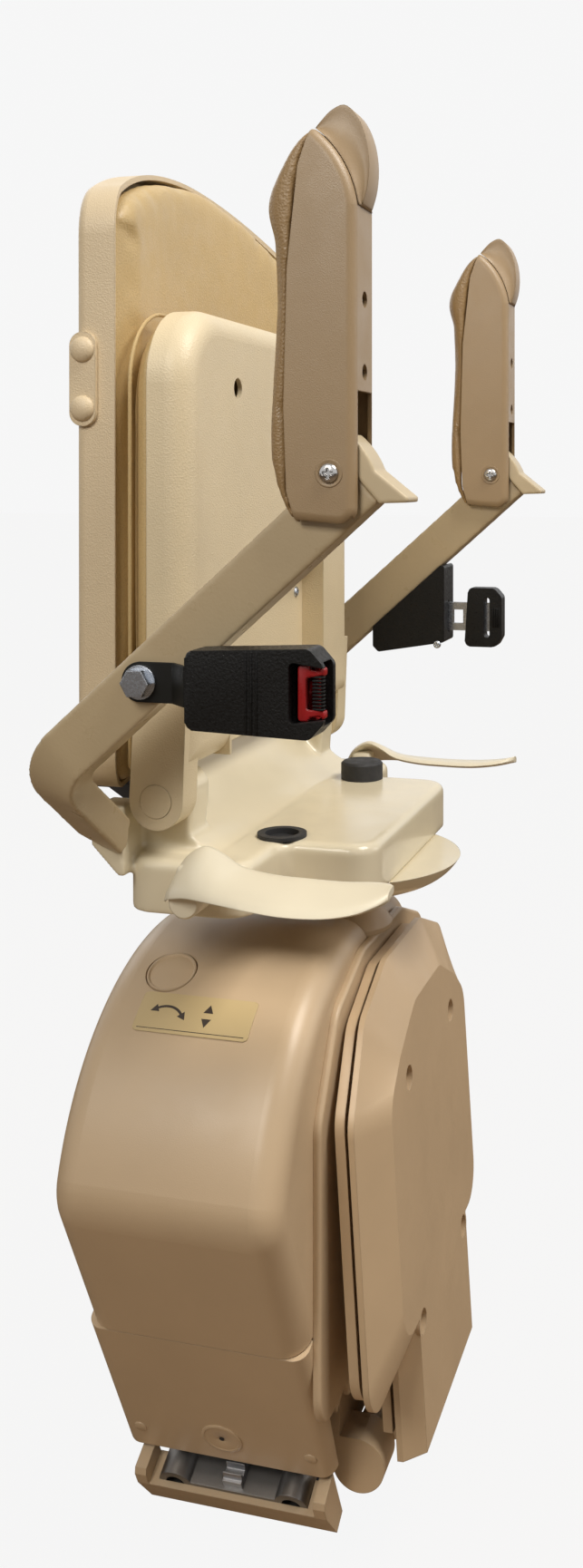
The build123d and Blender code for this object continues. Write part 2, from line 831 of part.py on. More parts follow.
bracket_front = -chassis_half_width - post_y
with BuildPart() as footrest_bracket:
    with BuildSketch(front_plane(bracket_front - 8)):
        with Locations((0, footrest_hinge_z)):
            Rectangle(2 * footrest_foot_half_width, 70, align=(Align.CENTER, Align.MIN))
    extrude(amount=-8)
    for start in (-footrest_foot_half_width, footrest_knuckle_inner):
        with BuildSketch(side_plane(start)):
            with Locations((footrest_hinge_y, footrest_hinge_z)):
                Circle(footrest_barrel_radius)
            with Locations((bracket_front - 2, footrest_hinge_z)):
                Rectangle(24, footrest_barrel_radius, align=(Align.MAX, Align.MIN))
        extrude(amount=footrest_foot_half_width - footrest_knuckle_inner)
    with BuildSketch(side_plane(-footrest_foot_half_width + footrest_pin_cover)):
        with Locations((footrest_hinge_y, footrest_hinge_z)):
            Circle(footrest_pin_radius)
    extrude(amount=2 * (footrest_foot_half_width - footrest_pin_cover), mode=Mode.SUBTRACT)
    with BuildSketch(side_plane(-footrest_knuckle_inner)):
        with Locations((footrest_hinge_y, footrest_hinge_z)):
            Circle(15)
    extrude(amount=2 * footrest_knuckle_inner, mode=Mode.SUBTRACT)
save(footrest_bracket, "footrest_bracket")

with BuildPart() as footrest_hinge_pin:
    with BuildSketch(side_plane(-footrest_foot_half_width + footrest_pin_cover)):
        with Locations((footrest_hinge_y, footrest_hinge_z)):
            Circle(footrest_pin_radius)
    extrude(amount=2 * (footrest_foot_half_width - footrest_pin_cover))
save(footrest_hinge_pin, "footrest_hinge_pin")

# ---------------------------------------------------------------- seat frame
with BuildPart() as seat_post:
    with BuildSketch(level_plane(post_bottom)):
        Circle(post_radius)
        Circle(post_radius - post_wall, mode=Mode.SUBTRACT)
    extrude(amount=base_top - base_skin - post_bottom)
save(seat_post, "seat_post")

with BuildPart() as swivel_housing:
    with BuildSketch(side_plane(0)):
        with BuildLine():
            Polyline(
                (post_radius, bowl_bottom + 4),
                (post_radius + 20, bowl_bottom),
                (bowl_radius - 30, bowl_bottom),
            )
            RadiusArc((bowl_radius - 30, bowl_bottom), (bowl_radius, base_bottom), -46)
            Polyline((bowl_radius, base_bottom), (post_radius, base_bottom), (post_radius, bowl_bottom + 4))
        make_face()
    revolve(axis=Axis((post_x, post_y, 0), (0, 0, 1)))
save(swivel_housing, "swivel_housing")


def base_outline(inset):
    """Plan of the seat base in (x, y): a narrow front and two wide wings."""
    narrow = base_half_width - inset
    wide = wing_half_width - inset
    with BuildSketch() as outline:
        with BuildLine():
            Polyline(
                (0, base_front + inset),
                (narrow, base_front + inset),
                (narrow, wing_front + inset),
                (wide, wing_front + inset),
                (wide, base_rear - inset),
                (0, base_rear - inset),
                close=True,
            )
        make_face()
        corners = ((narrow, base_front + inset), (wide, wing_front + inset), (wide, base_rear - inset))
        fillet([outline.vertices().sort_by_distance((*corner, 0))[0] for corner in corners], 24 - inset)
        inner_corner = outline.vertices().sort_by_distance((narrow, wing_front + inset, 0))[0]
        fillet(inner_corner, 12 + inset)
        mirror(about=Plane.YZ)
    return outline.sketch


with BuildPart() as seat_base:
    with BuildSketch(level_plane(base_bottom)):
        add(base_outline(0))
    extrude(amount=base_top - base_bottom)
    fillet(seat_base.faces().sort_by(Axis.Z)[-1].edges(), 7)
    with BuildSketch(level_plane(base_bottom)):
        add(base_outline(base_skin))
        Circle(post_radius + base_skin, mode=Mode.SUBTRACT)
    extrude(amount=base_top - base_bottom - base_skin, mode=Mode.SUBTRACT)
    with BuildSketch(level_plane(base_bottom)):
        Circle(post_radius)
    extrude(amount=base_top - base_bottom - base_skin, mode=Mode.SUBTRACT)
    with BuildSketch(side_plane(-upstand_half_width)):
        with BuildLine():
            Line((upstand_foot_y, base_top - 2), (base_rear, base_top - 2))
            Line((base_rear, base_top - 2), (base_rear, upstand_top))
            Line((base_rear, upstand_top), (base_rear - 12, upstand_top))
            RadiusArc((base_rear - 12, upstand_top), (upstand_foot_y, base_top - 2), upstand_scoop_radius)
        make_face()
    extrude(amount=2 * upstand_half_width)
    for side in (-1, 1):
        outer = wing_half_width - hinge_arm_width - side_clearance
        inner = hinge_lug_inner_x
        with BuildSketch(side_plane(side * (inner + outer) / 2)):
            with Locations((hinge_y, hinge_z)):
                Circle(hinge_lug_radius)
            with BuildLine():
                Polyline(
                    (hinge_y - hinge_lug_radius + 4, base_top - 2),
                    (base_rear, base_top - 2),
                    (base_rear, hinge_z + 8),
                    (hinge_y, hinge_z + hinge_lug_radius),
                    (hinge_y - hinge_lug_radius, hinge_z),
                    close=True,
                )
            make_face()
        extrude(amount=(outer - inner) / 2, both=True)
        with BuildSketch(side_plane(side * (wing_half_width + outer + 6) / 2)):
            with BuildLine():
                Polyline(
                    (base_rear - 6, base_top - 12),
                    (base_rear, base_top - 12),
                    (base_rear + 22, base_top + 10),
                    (base_rear + 22, back_bottom - 8),
                    (base_rear - 2, back_bottom - 8),
                    close=True,
                )
            make_face()
        extrude(amount=(wing_half_width - outer - 6) / 2 + 8, both=True)
        with BuildSketch(side_plane(side * 150)):
            with Locations((hinge_y, hinge_z)):
                Circle(hinge_pin_radius)
        extrude(amount=side * 60, mode=Mode.SUBTRACT)
        with BuildSketch(level_plane(base_top - 3)):
            with Locations((side * buffer_x, buffer_y)):
                Circle(buffer_radius - 4)
        extrude(amount=20, mode=Mode.SUBTRACT)
    with BuildSketch(side_plane(-wing_half_width - 20)):
        with Locations((lever_shaft_y, lever_shaft_z)):
            Circle(lever_shaft_radius + running_clearance)
    extrude(amount=2 * wing_half_width + 40, mode=Mode.SUBTRACT)
save(seat_base, "seat_base")

with BuildPart() as seat_hinge_pins:
    for side in (-1, 1):
        with BuildSketch(side_plane(side * 150)):
            with Locations((hinge_y, hinge_z)):
                Circle(hinge_pin_radius)
        extrude(amount=side * (wing_half_width - 150 - 4))
save(seat_hinge_pins, "seat_hinge_pins")

raised_buffer = hinge_z - (hinge_y - seat_underside) - base_top - rolling_clearance
with BuildPart() as seat_buffers:
    for side in (-1, 1):
        with BuildSketch(level_plane(base_top)):
            with Locations((side * buffer_x, buffer_y)):
                Circle(buffer_radius)
        extrude(amount=raised_buffer if side > 0 else 3)
        with BuildSketch(level_plane(base_top - 3)):
            with Locations((side * buffer_x, buffer_y)):
                Circle(buffer_radius - 4.2)
        extrude(amount=4)
    with BuildSketch(level_plane(base_top - 2)):
        with Locations((-buffer_x, buffer_y)):
            Circle(buffer_radius - 4.2 - 2)
    extrude(amount=20, mode=Mode.SUBTRACT)
    chamfer(seat_buffers.faces().sort_by(Axis.Z)[-1].edges(), 2)
save(seat_buffers, "seat_buffers")

# arm bars: rectangular tube from the armrest pivot down and in to the base's wings
bar_angle = radians(bar_slope)


def bar_height_at(y):
    """Height of the bar's centre line at y from the swivel axis."""
    return pivot_z - (y - pivot_y + 22) * tan(bar_angle)


for name, side in (("right_arm_bar", -1), ("left_arm_bar", 1)):
    bend_z = bar_height_at(bar_bend_y)
    bar_start_y = bar_front_y + bar_cap_length * cos(bar_angle)
    front_end = Vector(post_x + side * arm_half_spacing, post_y + bar_start_y, bar_height_at(bar_start_y))
    bend = Vector(post_x + side * arm_half_spacing, post_y + bar_bend_y, bend_z)
    inner_end = Vector(post_x + side * wing_half_width, post_y + base_rear + 8, back_bottom - 30)
    with BuildPart() as arm_bar:
        with BuildLine() as bar_path:
            FilletPolyline(front_end, bend, inner_end, radius=34)
        start_plane = Plane(origin=front_end, x_dir=(1, 0, 0), z_dir=(bend - front_end))
        with BuildSketch(start_plane):
            Rectangle(bar_width, bar_height)
            Rectangle(bar_width - 2 * bar_wall, bar_height - 2 * bar_wall, mode=Mode.SUBTRACT)
        sweep(transition=Transition.RIGHT)
        with BuildSketch(side_plane(0)):
            Rectangle(1000, 4 * pivot_z)
        extrude(amount=side * (wing_half_width + 8.3), mode=Mode.SUBTRACT)
        with BuildSketch(side_plane(side * arm_half_spacing - pad_width)):
            with Locations((pivot_y, pivot_z)):
                Circle(pivot_screw_radius)
        extrude(amount=2 * pad_width, mode=Mode.SUBTRACT)
    save(arm_bar, name)

bar_top = bar_height / 2
plug_height = bar_height - 2 * bar_wall - 0.4
cap_width = bar_width + 4
with BuildPart() as arm_bar_caps:
    for side in (-1, 1):
        cap_middle = Plane(
            origin=(post_x + side * arm_half_spacing, post_y + bar_front_y, bar_height_at(bar_front_y)),
            x_dir=(0, -cos(bar_angle), sin(bar_angle)),
            z_dir=(-1, 0, 0),
        )
        with BuildSketch(cap_middle.offset(-cap_width / 2)):
            with BuildLine():
                Line((-bar_cap_length, -bar_top - 1.5), (-bar_cap_length, bar_top + 1))
                Line((-bar_cap_length, bar_top + 1), (-4, bar_top + bar_cap_rise - 1))
                Line((-4, bar_top + bar_cap_rise - 1), (1.5, bar_top + bar_cap_rise))
                ThreePointArc((1.5, bar_top + bar_cap_rise), (1.5, 8), (-1.5, -3))
                Line((-1.5, -3), (3.5, -bar_top - bar_cap_flange + 2))
                Line((3.5, -bar_top - bar_cap_flange + 2), (1, -bar_top - bar_cap_flange))
                Line((1, -bar_top - bar_cap_flange), (-bar_cap_length, -bar_top - 1.5))
            make_face()
        extrude(amount=cap_width)
        with BuildSketch(cap_middle.offset(-bar_width / 2 + bar_wall + 0.2)):
            with Locations((-bar_cap_length, 0)):
                Rectangle(bar_cap_plug, plug_height, align=(Align.MAX, Align.CENTER))
        extrude(amount=bar_width - 2 * bar_wall - 0.4)
save(arm_bar_caps, "arm_bar_caps")

# backrest: a tray shell wrapped about a vertical axis, with a padded front
back_centre_y = back_front + back_wrap - back_radius


def back_outline(inset):
    half = back_half_width - inset
    top = back_apex - inset
    shoulder = back_shoulder - inset
    low = back_bottom + inset
    with BuildSketch() as outline:
        with BuildLine():
            Polyline((0, low), (half, low), (half, shoulder - 12))
            ThreePointArc((half, shoulder - 12), (half / 2, top - (top - shoulder + 12) / 4), (0, top))
            Line((0, top), (0, low))
        make_face()
        rounding = ((half, low, 30), (half, shoulder - 12, back_corner_radius))
        for x, z, radius in rounding:
            fillet(outline.vertices().sort_by_distance((x, z, 0))[0], radius - inset)
        mirror(about=Plane.YZ)
    return outline.sketch


def back_band(inner, outer, inset, crown=0):
    """The backrest's outline cut from a ring about the wrap axis, its front crowned."""
    hollow_half = back_half_width
    hollow_depth = back_wrap - crown
    hollow_radius = (hollow_half**2 + hollow_depth**2) / (2 * hollow_depth)
    with BuildPart() as band:
        with BuildSketch(level_plane(back_bottom)):
            with Locations((0, back_centre_y)):
                Circle(back_radius + outer)
            with Locations((0, back_front + hollow_depth - hollow_radius)):
                Circle(hollow_radius + inner, mode=Mode.SUBTRACT)
        extrude(amount=back_apex - back_bottom)
        with BuildSketch(front_plane(300)):
            add(back_outline(inset))
        extrude(amount=300, mode=Mode.INTERSECT)
    return band.part


with BuildPart() as backrest_shell:
    add(back_band(0, back_shell_depth, 0))
    rear_face = backrest_shell.faces().filter_by(GeomType.CYLINDER).sort_by(Axis.Y)[-1]
    fillet(rear_face.edges(), 9)
    add(back_band(-1, back_shell_depth - back_wall, back_wall), mode=Mode.SUBTRACT)
save(backrest_shell, "backrest_shell")

with BuildPart() as backrest_cushion:
    add(back_band(-back_cushion_depth, 14, back_wall + side_clearance, back_cushion_crown))
    front_face = backrest_cushion.faces().filter_by(GeomType.CYLINDER).sort_by(Axis.Y)[0]
    fillet(front_face.edges(), 9)
save(backrest_cushion, "backrest_cushion")

with BuildPart() as back_bracket:
    for side in (-1, 1):
        with BuildSketch(side_plane(side * 90 - back_bracket_width / 2)):
            with BuildLine():
                Polyline(
                    (base_rear, base_top + 4),
                    (base_rear + 6, base_top + 4),
                    (back_front + back_wrap + 17, back_bottom - 14),
                    (back_front + back_wrap + 36, back_bottom - 14),
                    (back_front + back_wrap + 36, back_bottom + 120),
                    (back_front + 18, back_bottom + 120),
                    (back_front + 18, back_bottom - 8),
                    (back_front + back_wrap + 14, back_bottom - 8),
                    (base_rear, base_top + 30),
                    close=True,
                )
            make_face()
        extrude(amount=back_bracket_width)
    with BuildSketch(level_plane(back_bottom - 8)):
        with Locations((0, back_centre_y)):
            Circle(back_radius + back_shell_depth)
    extrude(amount=200, mode=Mode.SUBTRACT)
save(back_bracket, "back_bracket")

with BuildPart() as back_bolt_covers:
    for side in (-1, 1):
        for height in (bolt_cover_low, bolt_cover_high):
            with BuildSketch(side_plane(side * back_half_width)):
                with Locations((back_front + 21, height)):
                    Circle(bolt_cover_radius)
            extrude(amount=side * 3)
save(back_bolt_covers, "back_bolt_covers")

# ---------------------------------------------------------------- seat, folded up against the back
def seat_outline(inset):
    half = seat_half_width - inset
    with BuildSketch() as outline:
        with BuildLine():
            Polyline(
                (0, seat_bottom + inset),
                (half, seat_bottom + inset),
                (half, seat_top - inset),
                (0, seat_top - inset),
                close=True,
            )
        make_face()
        fillet(outline.vertices().sort_by_distance((half, seat_top - inset, 0))[0], seat_corner_radius - inset)
        mirror(about=Plane.YZ)
    return outline.sketch


def seat_block(inset):
    """The folded seat's shell as a solid with a soft lower edge, drawn in by inset."""
    with BuildPart() as block:
        with BuildSketch(front_plane(seat_underside + inset)):
            add(seat_outline(inset))
        extrude(amount=-seat_shell_depth)
        fillet(block.faces().sort_by(Axis.Y)[0].edges(), seat_edge_radius - inset)
    return block.part


seat_seam = seat_underside + seat_shell_depth
seat_form = seat_block(0)
seat_hollow = seat_block(seat_shell_wall)
with BuildPart() as seat_shell:
    add(seat_form)
    add(seat_hollow, mode=Mode.SUBTRACT)
    with BuildSketch(front_plane(seat_underside)):
        with Locations((0, seat_bottom)):
            Rectangle(2 * pocket_half_width, pocket_top - seat_bottom, align=(Align.CENTER, Align.MIN))
    extrude(amount=-pocket_depth - seat_shell_wall)
    with BuildSketch(front_plane(seat_underside)):
        with Locations((0, seat_bottom - 10)):
            Rectangle(
                2 * (pocket_half_width - seat_shell_wall),
                pocket_top - seat_bottom - seat_shell_wall + 10,
                align=(Align.CENTER, Align.MIN),
            )
    extrude(amount=-pocket_depth, mode=Mode.SUBTRACT)
    for side in (-1, 1):
        arm_middle = side * (seat_half_width - hinge_arm_width / 2)
        with BuildSketch(side_plane(arm_middle)):
            with Locations((hinge_y, hinge_z)):
                Circle(hinge_boss_radius)
            with BuildLine():
                Polyline(
                    (hinge_y - hinge_boss_radius, hinge_z),
                    (seat_underside + 2, seat_bottom + 60),
                    (seat_seam + 10, seat_bottom + 60),
                    (hinge_y + hinge_boss_radius, hinge_z),
                    close=True,
                )
            make_face()
        extrude(amount=hinge_arm_width / 2, both=True)
        with BuildSketch(side_plane(arm_middle)):
            with Locations((hinge_y, hinge_z)):
                Circle(hinge_pin_radius + running_clearance)
        extrude(amount=hinge_arm_width / 2, both=True, mode=Mode.SUBTRACT)
        with BuildSketch(side_plane(side * (seat_half_width - 2))):
            with Locations((hinge_y, hinge_z)):
                Circle(hinge_cap_radius)
        extrude(amount=side * 4, mode=Mode.SUBTRACT)
        with BuildSketch(front_plane(seat_underside - 1)):
            with Locations((side * 102, 970)):
                Circle(8.5)
        extrude(amount=-seat_shell_wall - 2, mode=Mode.SUBTRACT)
save(seat_shell, "seat_shell")

def cushion_section(depth, inset):
    """Outline of the seat cushion at a depth behind its seam, drawn in by inset."""
    half = seat_half_width - 2 - inset
    low = seat_bottom + 2 + inset
    high = seat_top - 2 - inset
    with BuildSketch(front_plane(seat_seam + 0.3 + depth)) as section:
        with Locations((0, (low + high) / 2)):
            RectangleRounded(2 * half, high - low, seat_corner_radius)
    return section.sketch.face()


with BuildPart() as seat_cushion:
    extrude(cushion_section(0, 0), amount=-seat_cushion_depth / 3)
    loft(
        [
            cushion_section(seat_cushion_depth / 3, 0),
            cushion_section(seat_cushion_depth * 0.8, 4),
            cushion_section(seat_cushion_depth + seat_cushion_crown * 0.5, 40),
            cushion_section(seat_cushion_depth + seat_cushion_crown, 100),
        ]
    )
    with BuildSketch(front_plane(seat_seam + 0.3)):
        for side in (-1, 1):
            with Locations((side * seat_half_width, seat_bottom)):
                Rectangle(2 * hinge_arm_width + 6, 132)
    extrude(amount=-2 * seat_cushion_depth, mode=Mode.SUBTRACT)
save(seat_cushion, "seat_cushion")

with BuildPart() as seat_hinge_caps:
    for side in (-1, 1):
        with BuildSketch(side_plane(side * (seat_half_width - 2))):
            with Locations((hinge_y, hinge_z)):
                Circle(hinge_cap_radius - 0.3)
        extrude(amount=side * 2.5)
save(seat_hinge_caps, "seat_hinge_caps")

# ---------------------------------------------------------------- padded armrests and toggles
def pad_end_arc(radius):
    """The round front end of an armrest, from its top face down to its tip."""
    sweep = pad_end_high_angle - pad_end_low_angle
    return CenterArc((pad_end_centre_y, pad_end_centre_z), radius, pad_end_low_angle, sweep)


def pad_outline():
    """Side outline of an armrest in (y, z) about its pivot."""
    with BuildSketch() as outline:
        with BuildLine():
            end = pad_end_arc(pad_end_radius)
            low = end @ 0
            tip = end @ 1
            face_foot = (low.X, pad_foot_z)
            Line(face_foot, low)
            heel = (28, pad_foot_z + 4)
            Spline(tip, (31, 213), (38.5, 137), (41, 44), (39, -8), heel)
            Line(heel, face_foot)
        make_face()
        fillet(outline.vertices().sort_by_distance(tip)[0], 5)
        fillet(outline.vertices().sort_by_distance(Vector(*face_foot))[0], 12)
    return outline.sketch


def on_side(sketch, x):
    """A sketch about the armrest pivot, placed on the side plane at x."""
    placed = sketch.moved(Location((pivot_y, pivot_z, 0)))
    return side_plane(x).from_local_coords(placed)


def pad_block(side):
    half = pad_width / 2
    with BuildPart() as block:
        extrude(on_side(pad_outline(), side * arm_half_spacing - half), amount=2 * half)
        rounded = [
            edge for edge in block.edges()
            if abs(abs(edge.center().X - post_x - side * arm_half_spacing) - half) < 0.01
        ]
        fillet(rounded, pad_edge_radius)
    return block.part


def rear_band(side):
    """The zone of an armrest taken up by its padded cover."""
    depth = pad_cover_depth
    with BuildPart() as band:
        with BuildSketch(side_plane(side * arm_half_spacing - pad_width)):
            with Locations((pivot_y, pivot_z)):
                Polygon(
                    (16, -60), (41 - depth - 2, -12), (41 - depth, 44), (38.5 - depth, 137),
                    (31 - depth, 205), (8, 245), (80, 245), (80, -60),
                    align=None,
                )
        extrude(amount=2 * pad_width)
    return band.part


def bar_slot(side):
    """The slot an armrest straddles its bar with: open in front and below."""
    with BuildPart() as slot:
        with BuildSketch(front_plane(pivot_y)):
            with Locations((side * arm_half_spacing, pivot_z + slot_top)):
                Rectangle(slot_width, 200, align=(Align.CENTER, Align.MAX))
        extrude(amount=60)
        with BuildSketch(level_plane(pivot_z - slot_drop)):
            with Locations((side * arm_half_spacing, pivot_y + 6)):
                Rectangle(slot_width, 80)
        extrude(amount=slot_drop + slot_rear_top)
    return slot.part


def pad_hollow(side):
    """The space inside an armrest's shell, in front of its padded cover."""
    rear = 41 - pad_cover_depth - 2 - pad_wall
    with BuildSketch() as outline:
        with BuildLine():
            Polyline(
                (pad_wall - 18, -60), (pad_wall - 18, 174), (-3, 204), (12, 222),
                (22, 200), (rear - 3, 137), (rear, 44), (rear, -12), (16, -60),
                close=True,
            )
        make_face()
    with BuildPart() as hollow:
        placed = on_side(outline.sketch, side * arm_half_spacing - pad_width / 2 + pad_wall)
        extrude(placed, amount=pad_width - 2 * pad_wall)
    return hollow.part


def toggle_outline():
    """Crescent of a toggle in (y, z) about the armrest pivot, over the armrest's round end."""
    with BuildSketch() as crescent:
        with BuildLine():
            inner = pad_end_arc(pad_end_radius + toggle_clearance)
            low = inner @ 0
            high = inner @ 1
            ThreePointArc(high, (-2, 247), (-17, 249))
            ThreePointArc((-17, 249), (-27, 230), (-30, 206))
            Line((-30, 206), (-26, low.Y - 1))
            Line((-26, low.Y - 1), low)
        make_face()
    return crescent.sketch


for name, side in (("right", -1), ("left", 1)):
    full_pad = pad_block(side)
    band = rear_band(side)
    hollow = pad_hollow(side)
    slot = bar_slot(side)
    with BuildPart() as armrest_shell:
        add(full_pad)
        add(band, mode=Mode.SUBTRACT)
        add(hollow, mode=Mode.SUBTRACT)
        add(slot, mode=Mode.SUBTRACT)
        with BuildSketch(side_plane(side * arm_half_spacing - pad_width)):
            with Locations((pivot_y, pivot_z)):
                Circle(pivot_screw_radius + running_clearance)
        extrude(amount=2 * pad_width, mode=Mode.SUBTRACT)
        with BuildSketch(front_plane(pivot_y - 30)):
            for height in (68, 117):
                with Locations((side * arm_half_spacing, pivot_z + height)):
                    Circle(cover_hole_radius)
        extrude(amount=-16, mode=Mode.SUBTRACT)
    save(armrest_shell, name + "_armrest_shell")

    with BuildPart() as armrest_pad:
        add(full_pad)
        add(band, mode=Mode.INTERSECT)
        add(slot, mode=Mode.SUBTRACT)
    save(armrest_pad, name + "_armrest_pad")

    with BuildPart() as toggle:
        extrude(on_side(toggle_outline(), side * arm_half_spacing - toggle_width / 2), amount=toggle_width)
    save(toggle, name + "_toggle")

with BuildPart() as armrest_pivot_screws:
    for side in (-1, 1):
        with BuildSketch(side_plane(side * arm_half_spacing - pad_width / 2 - 1.5)):
            with Locations((pivot_y, pivot_z)):
                Circle(pivot_screw_radius)
        extrude(amount=pad_width + 3)
        for start in (-pad_width / 2 - 3, pad_width / 2 + 0.2):
            with BuildSketch(side_plane(side * arm_half_spacing + start)):
                with Locations((pivot_y, pivot_z)):
                    Circle(pivot_head_radius)
            extrude(amount=2.8)
save(armrest_pivot_screws, "armrest_pivot_screws")

# ---------------------------------------------------------------- seat belt
strap_z = bar_height_at(strap_y)
strap_x = -arm_half_spacing - bar_width / 2 - strap_thickness
cranked_x = strap_x - strap_crank
with BuildPart() as buckle_strap:
    with BuildSketch(level_plane(strap_z - strap_height / 2)):
        with BuildLine():
            Polyline(
                (strap_x, strap_y + strap_height / 2),
                (strap_x, strap_y - 24),
                (cranked_x, strap_y - 38),
                (cranked_x, strap_y - buckle_reach),
                (cranked_x + strap_thickness, strap_y - buckle_reach),
                (cranked_x + strap_thickness, strap_y - 38),
                (strap_x + strap_thickness, strap_y - 24),
                (strap_x + strap_thickness, strap_y + strap_height / 2),
                close=True,
            )
        make_face()
    extrude(amount=strap_height)
    rear_corners = buckle_strap.edges().filter_by(Axis.X).group_by(Axis.Y)[-1]
    fillet(rear_corners, strap_height / 2 - 0.5)
    with BuildSketch(side_plane(strap_x)):
        with Locations((strap_y, strap_z)):
            Circle(strap_bolt_radius + 0.2)
    extrude(amount=strap_thickness, mode=Mode.SUBTRACT)
save(buckle_strap, "buckle_strap")

with BuildPart() as buckle_bolt:
    with BuildSketch(side_plane(strap_x)):
        with Locations((strap_y, strap_z)):
            Circle(12)
    extrude(amount=-2)
    with BuildSketch(side_plane(strap_x - 2)):
        with Locations((strap_y, strap_z)):
            RegularPolygon(9.2, 6, major_radius=False)
    extrude(amount=-8)
    with BuildSketch(side_plane(strap_x)):
        with Locations((strap_y, strap_z)):
            Circle(strap_bolt_radius)
    extrude(amount=strap_thickness)
save(buckle_bolt, "buckle_bolt")

buckle_front = strap_y - 44 - 98
strap_middle = cranked_x + strap_thickness / 2
buckle_side = strap_middle - buckle_thickness / 2
with BuildPart() as buckle_body:
    with BuildSketch(side_plane(buckle_side)):
        with BuildLine():
            Polyline(
                (strap_y - 44, strap_z + 26),
                (buckle_front + 12, strap_z + 30),
                (buckle_front, strap_z + 16),
                (buckle_front, strap_z - 14),
                (buckle_front + 10, strap_z - 30),
                (strap_y - 44, strap_z - 28),
                close=True,
            )
        make_face()
    extrude(amount=buckle_thickness)
    fillet(buckle_body.edges().filter_by(Axis.X), 6)
    with BuildSketch(side_plane(cranked_x)):
        with Locations((strap_y, strap_z)):
            Rectangle(buckle_reach, strap_height, align=(Align.MAX, Align.CENTER))
    extrude(amount=strap_thickness, mode=Mode.SUBTRACT)
    with BuildSketch(side_plane(strap_middle - button_thickness / 2 - button_clearance)):
        with Locations((buckle_front - 2, strap_z)):
            Rectangle(34, button_height + 2 * button_clearance, align=(Align.MIN, Align.CENTER))
    extrude(amount=button_thickness + 2 * button_clearance, mode=Mode.SUBTRACT)
save(buckle_body, "buckle_body")

with BuildPart() as buckle_button:
    with BuildSketch(side_plane(strap_middle - button_thickness / 2)):
        with Locations((buckle_front + 6, strap_z)):
            Rectangle(16, button_height, align=(Align.MIN, Align.CENTER))
    extrude(amount=button_thickness)
    with BuildSketch(side_plane(strap_middle - tongue_slot_width / 2)):
        with Locations((buckle_front, strap_z)):
            Rectangle(60, tongue_slot_height)
    extrude(amount=tongue_slot_width, mode=Mode.SUBTRACT)
save(buckle_button, "buckle_button")

retractor_y = 12.0
retractor_z = bar_height_at(retractor_y) - bar_height / 2 / cos(bar_angle) - 2
with BuildPart() as belt_retractor:
    with BuildSketch(side_plane(arm_half_spacing - retractor_width / 2)):
        with BuildLine():
            Polyline(
                (retractor_y + 39, bar_height_at(retractor_y + 39) - bar_height / 2 / cos(bar_angle) - 0.3),
                (retractor_y - 39, bar_height_at(retractor_y - 39) - bar_height / 2 / cos(bar_angle) - 0.3),
                (retractor_y - 39, retractor_z - 48),
                (retractor_y + 33, retractor_z - 60),
                (retractor_y + 39, retractor_z - 54),
                close=True,
            )
        make_face()
    extrude(amount=retractor_width)
    fillet(belt_retractor.edges().filter_by(Axis.X), 3)
    with BuildSketch(front_plane(retractor_y - 30)):
        with Locations((arm_half_spacing, retractor_z - 22)):
            Rectangle(tongue_thickness + 1, 34)
    extrude(amount=20, mode=Mode.SUBTRACT)
save(belt_retractor, "belt_retractor")

tongue_plane_x = arm_half_spacing - tongue_thickness / 2
with BuildPart() as tongue_blade:
    with BuildSketch(side_plane(tongue_plane_x)):
        with Locations((retractor_y - 30, retractor_z - 22)):
            Rectangle(66, 30, align=(Align.MAX, Align.CENTER))
        with Locations((retractor_y - 50, retractor_z - 22)):
            Rectangle(10, 14, mode=Mode.SUBTRACT)
    extrude(amount=tongue_thickness)
save(tongue_blade, "tongue_blade")

with BuildPart() as tongue_grip:
    with BuildSketch(side_plane(arm_half_spacing - 9)):
        with Locations((retractor_y - 78, retractor_z - 22)):
            RectangleRounded(40, 62, 6)
    extrude(amount=18)
    with BuildSketch(side_plane(tongue_plane_x)):
        with Locations((retractor_y - 30, retractor_z - 22)):
            Rectangle(66, 30, align=(Align.MAX, Align.CENTER))
    extrude(amount=tongue_thickness, mode=Mode.SUBTRACT)
save(tongue_grip, "tongue_grip")

# ---------------------------------------------------------------- swivel levers on one cross shaft
with BuildPart() as lever_shaft:
    with BuildSketch(side_plane(-lever_hub_x)):
        with Locations((lever_shaft_y, lever_shaft_z)):
            Circle(lever_shaft_radius)
    extrude(amount=2 * lever_hub_x)
save(lever_shaft, "lever_shaft")

def lever_profile():
    """A lever seen from the side in (y, z): dished paddle, thumb rise at its root, neck to the shaft."""
    thick = lever_thickness
    neck_front = lever_shaft_y - 16
    with BuildSketch() as profile:
        with BuildLine():
            root = (lever_root_y, lever_root_z)
            tip = (lever_tip_y, lever_tip_z)
            under_tip = (lever_tip_y + 1, lever_tip_z - thick)
            under_root = (lever_root_y - 6, lever_root_z - 24)
            Spline((lever_root_y + 14, lever_root_z - 6), root, (lever_root_y - 18, lever_root_z - 12),
                   (lever_dip_y, lever_dip_z), tip)
            Line(tip, under_tip)
            Spline(under_tip, (lever_dip_y, lever_dip_z - thick), under_root)
            Line(under_root, (neck_front, lever_shaft_z))
            Line((neck_front, lever_shaft_z), (lever_shaft_y + 16, lever_shaft_z))
            Line((lever_shaft_y + 16, lever_shaft_z), (lever_root_y + 14, lever_root_z - 6))
        make_face()
    return profile.sketch


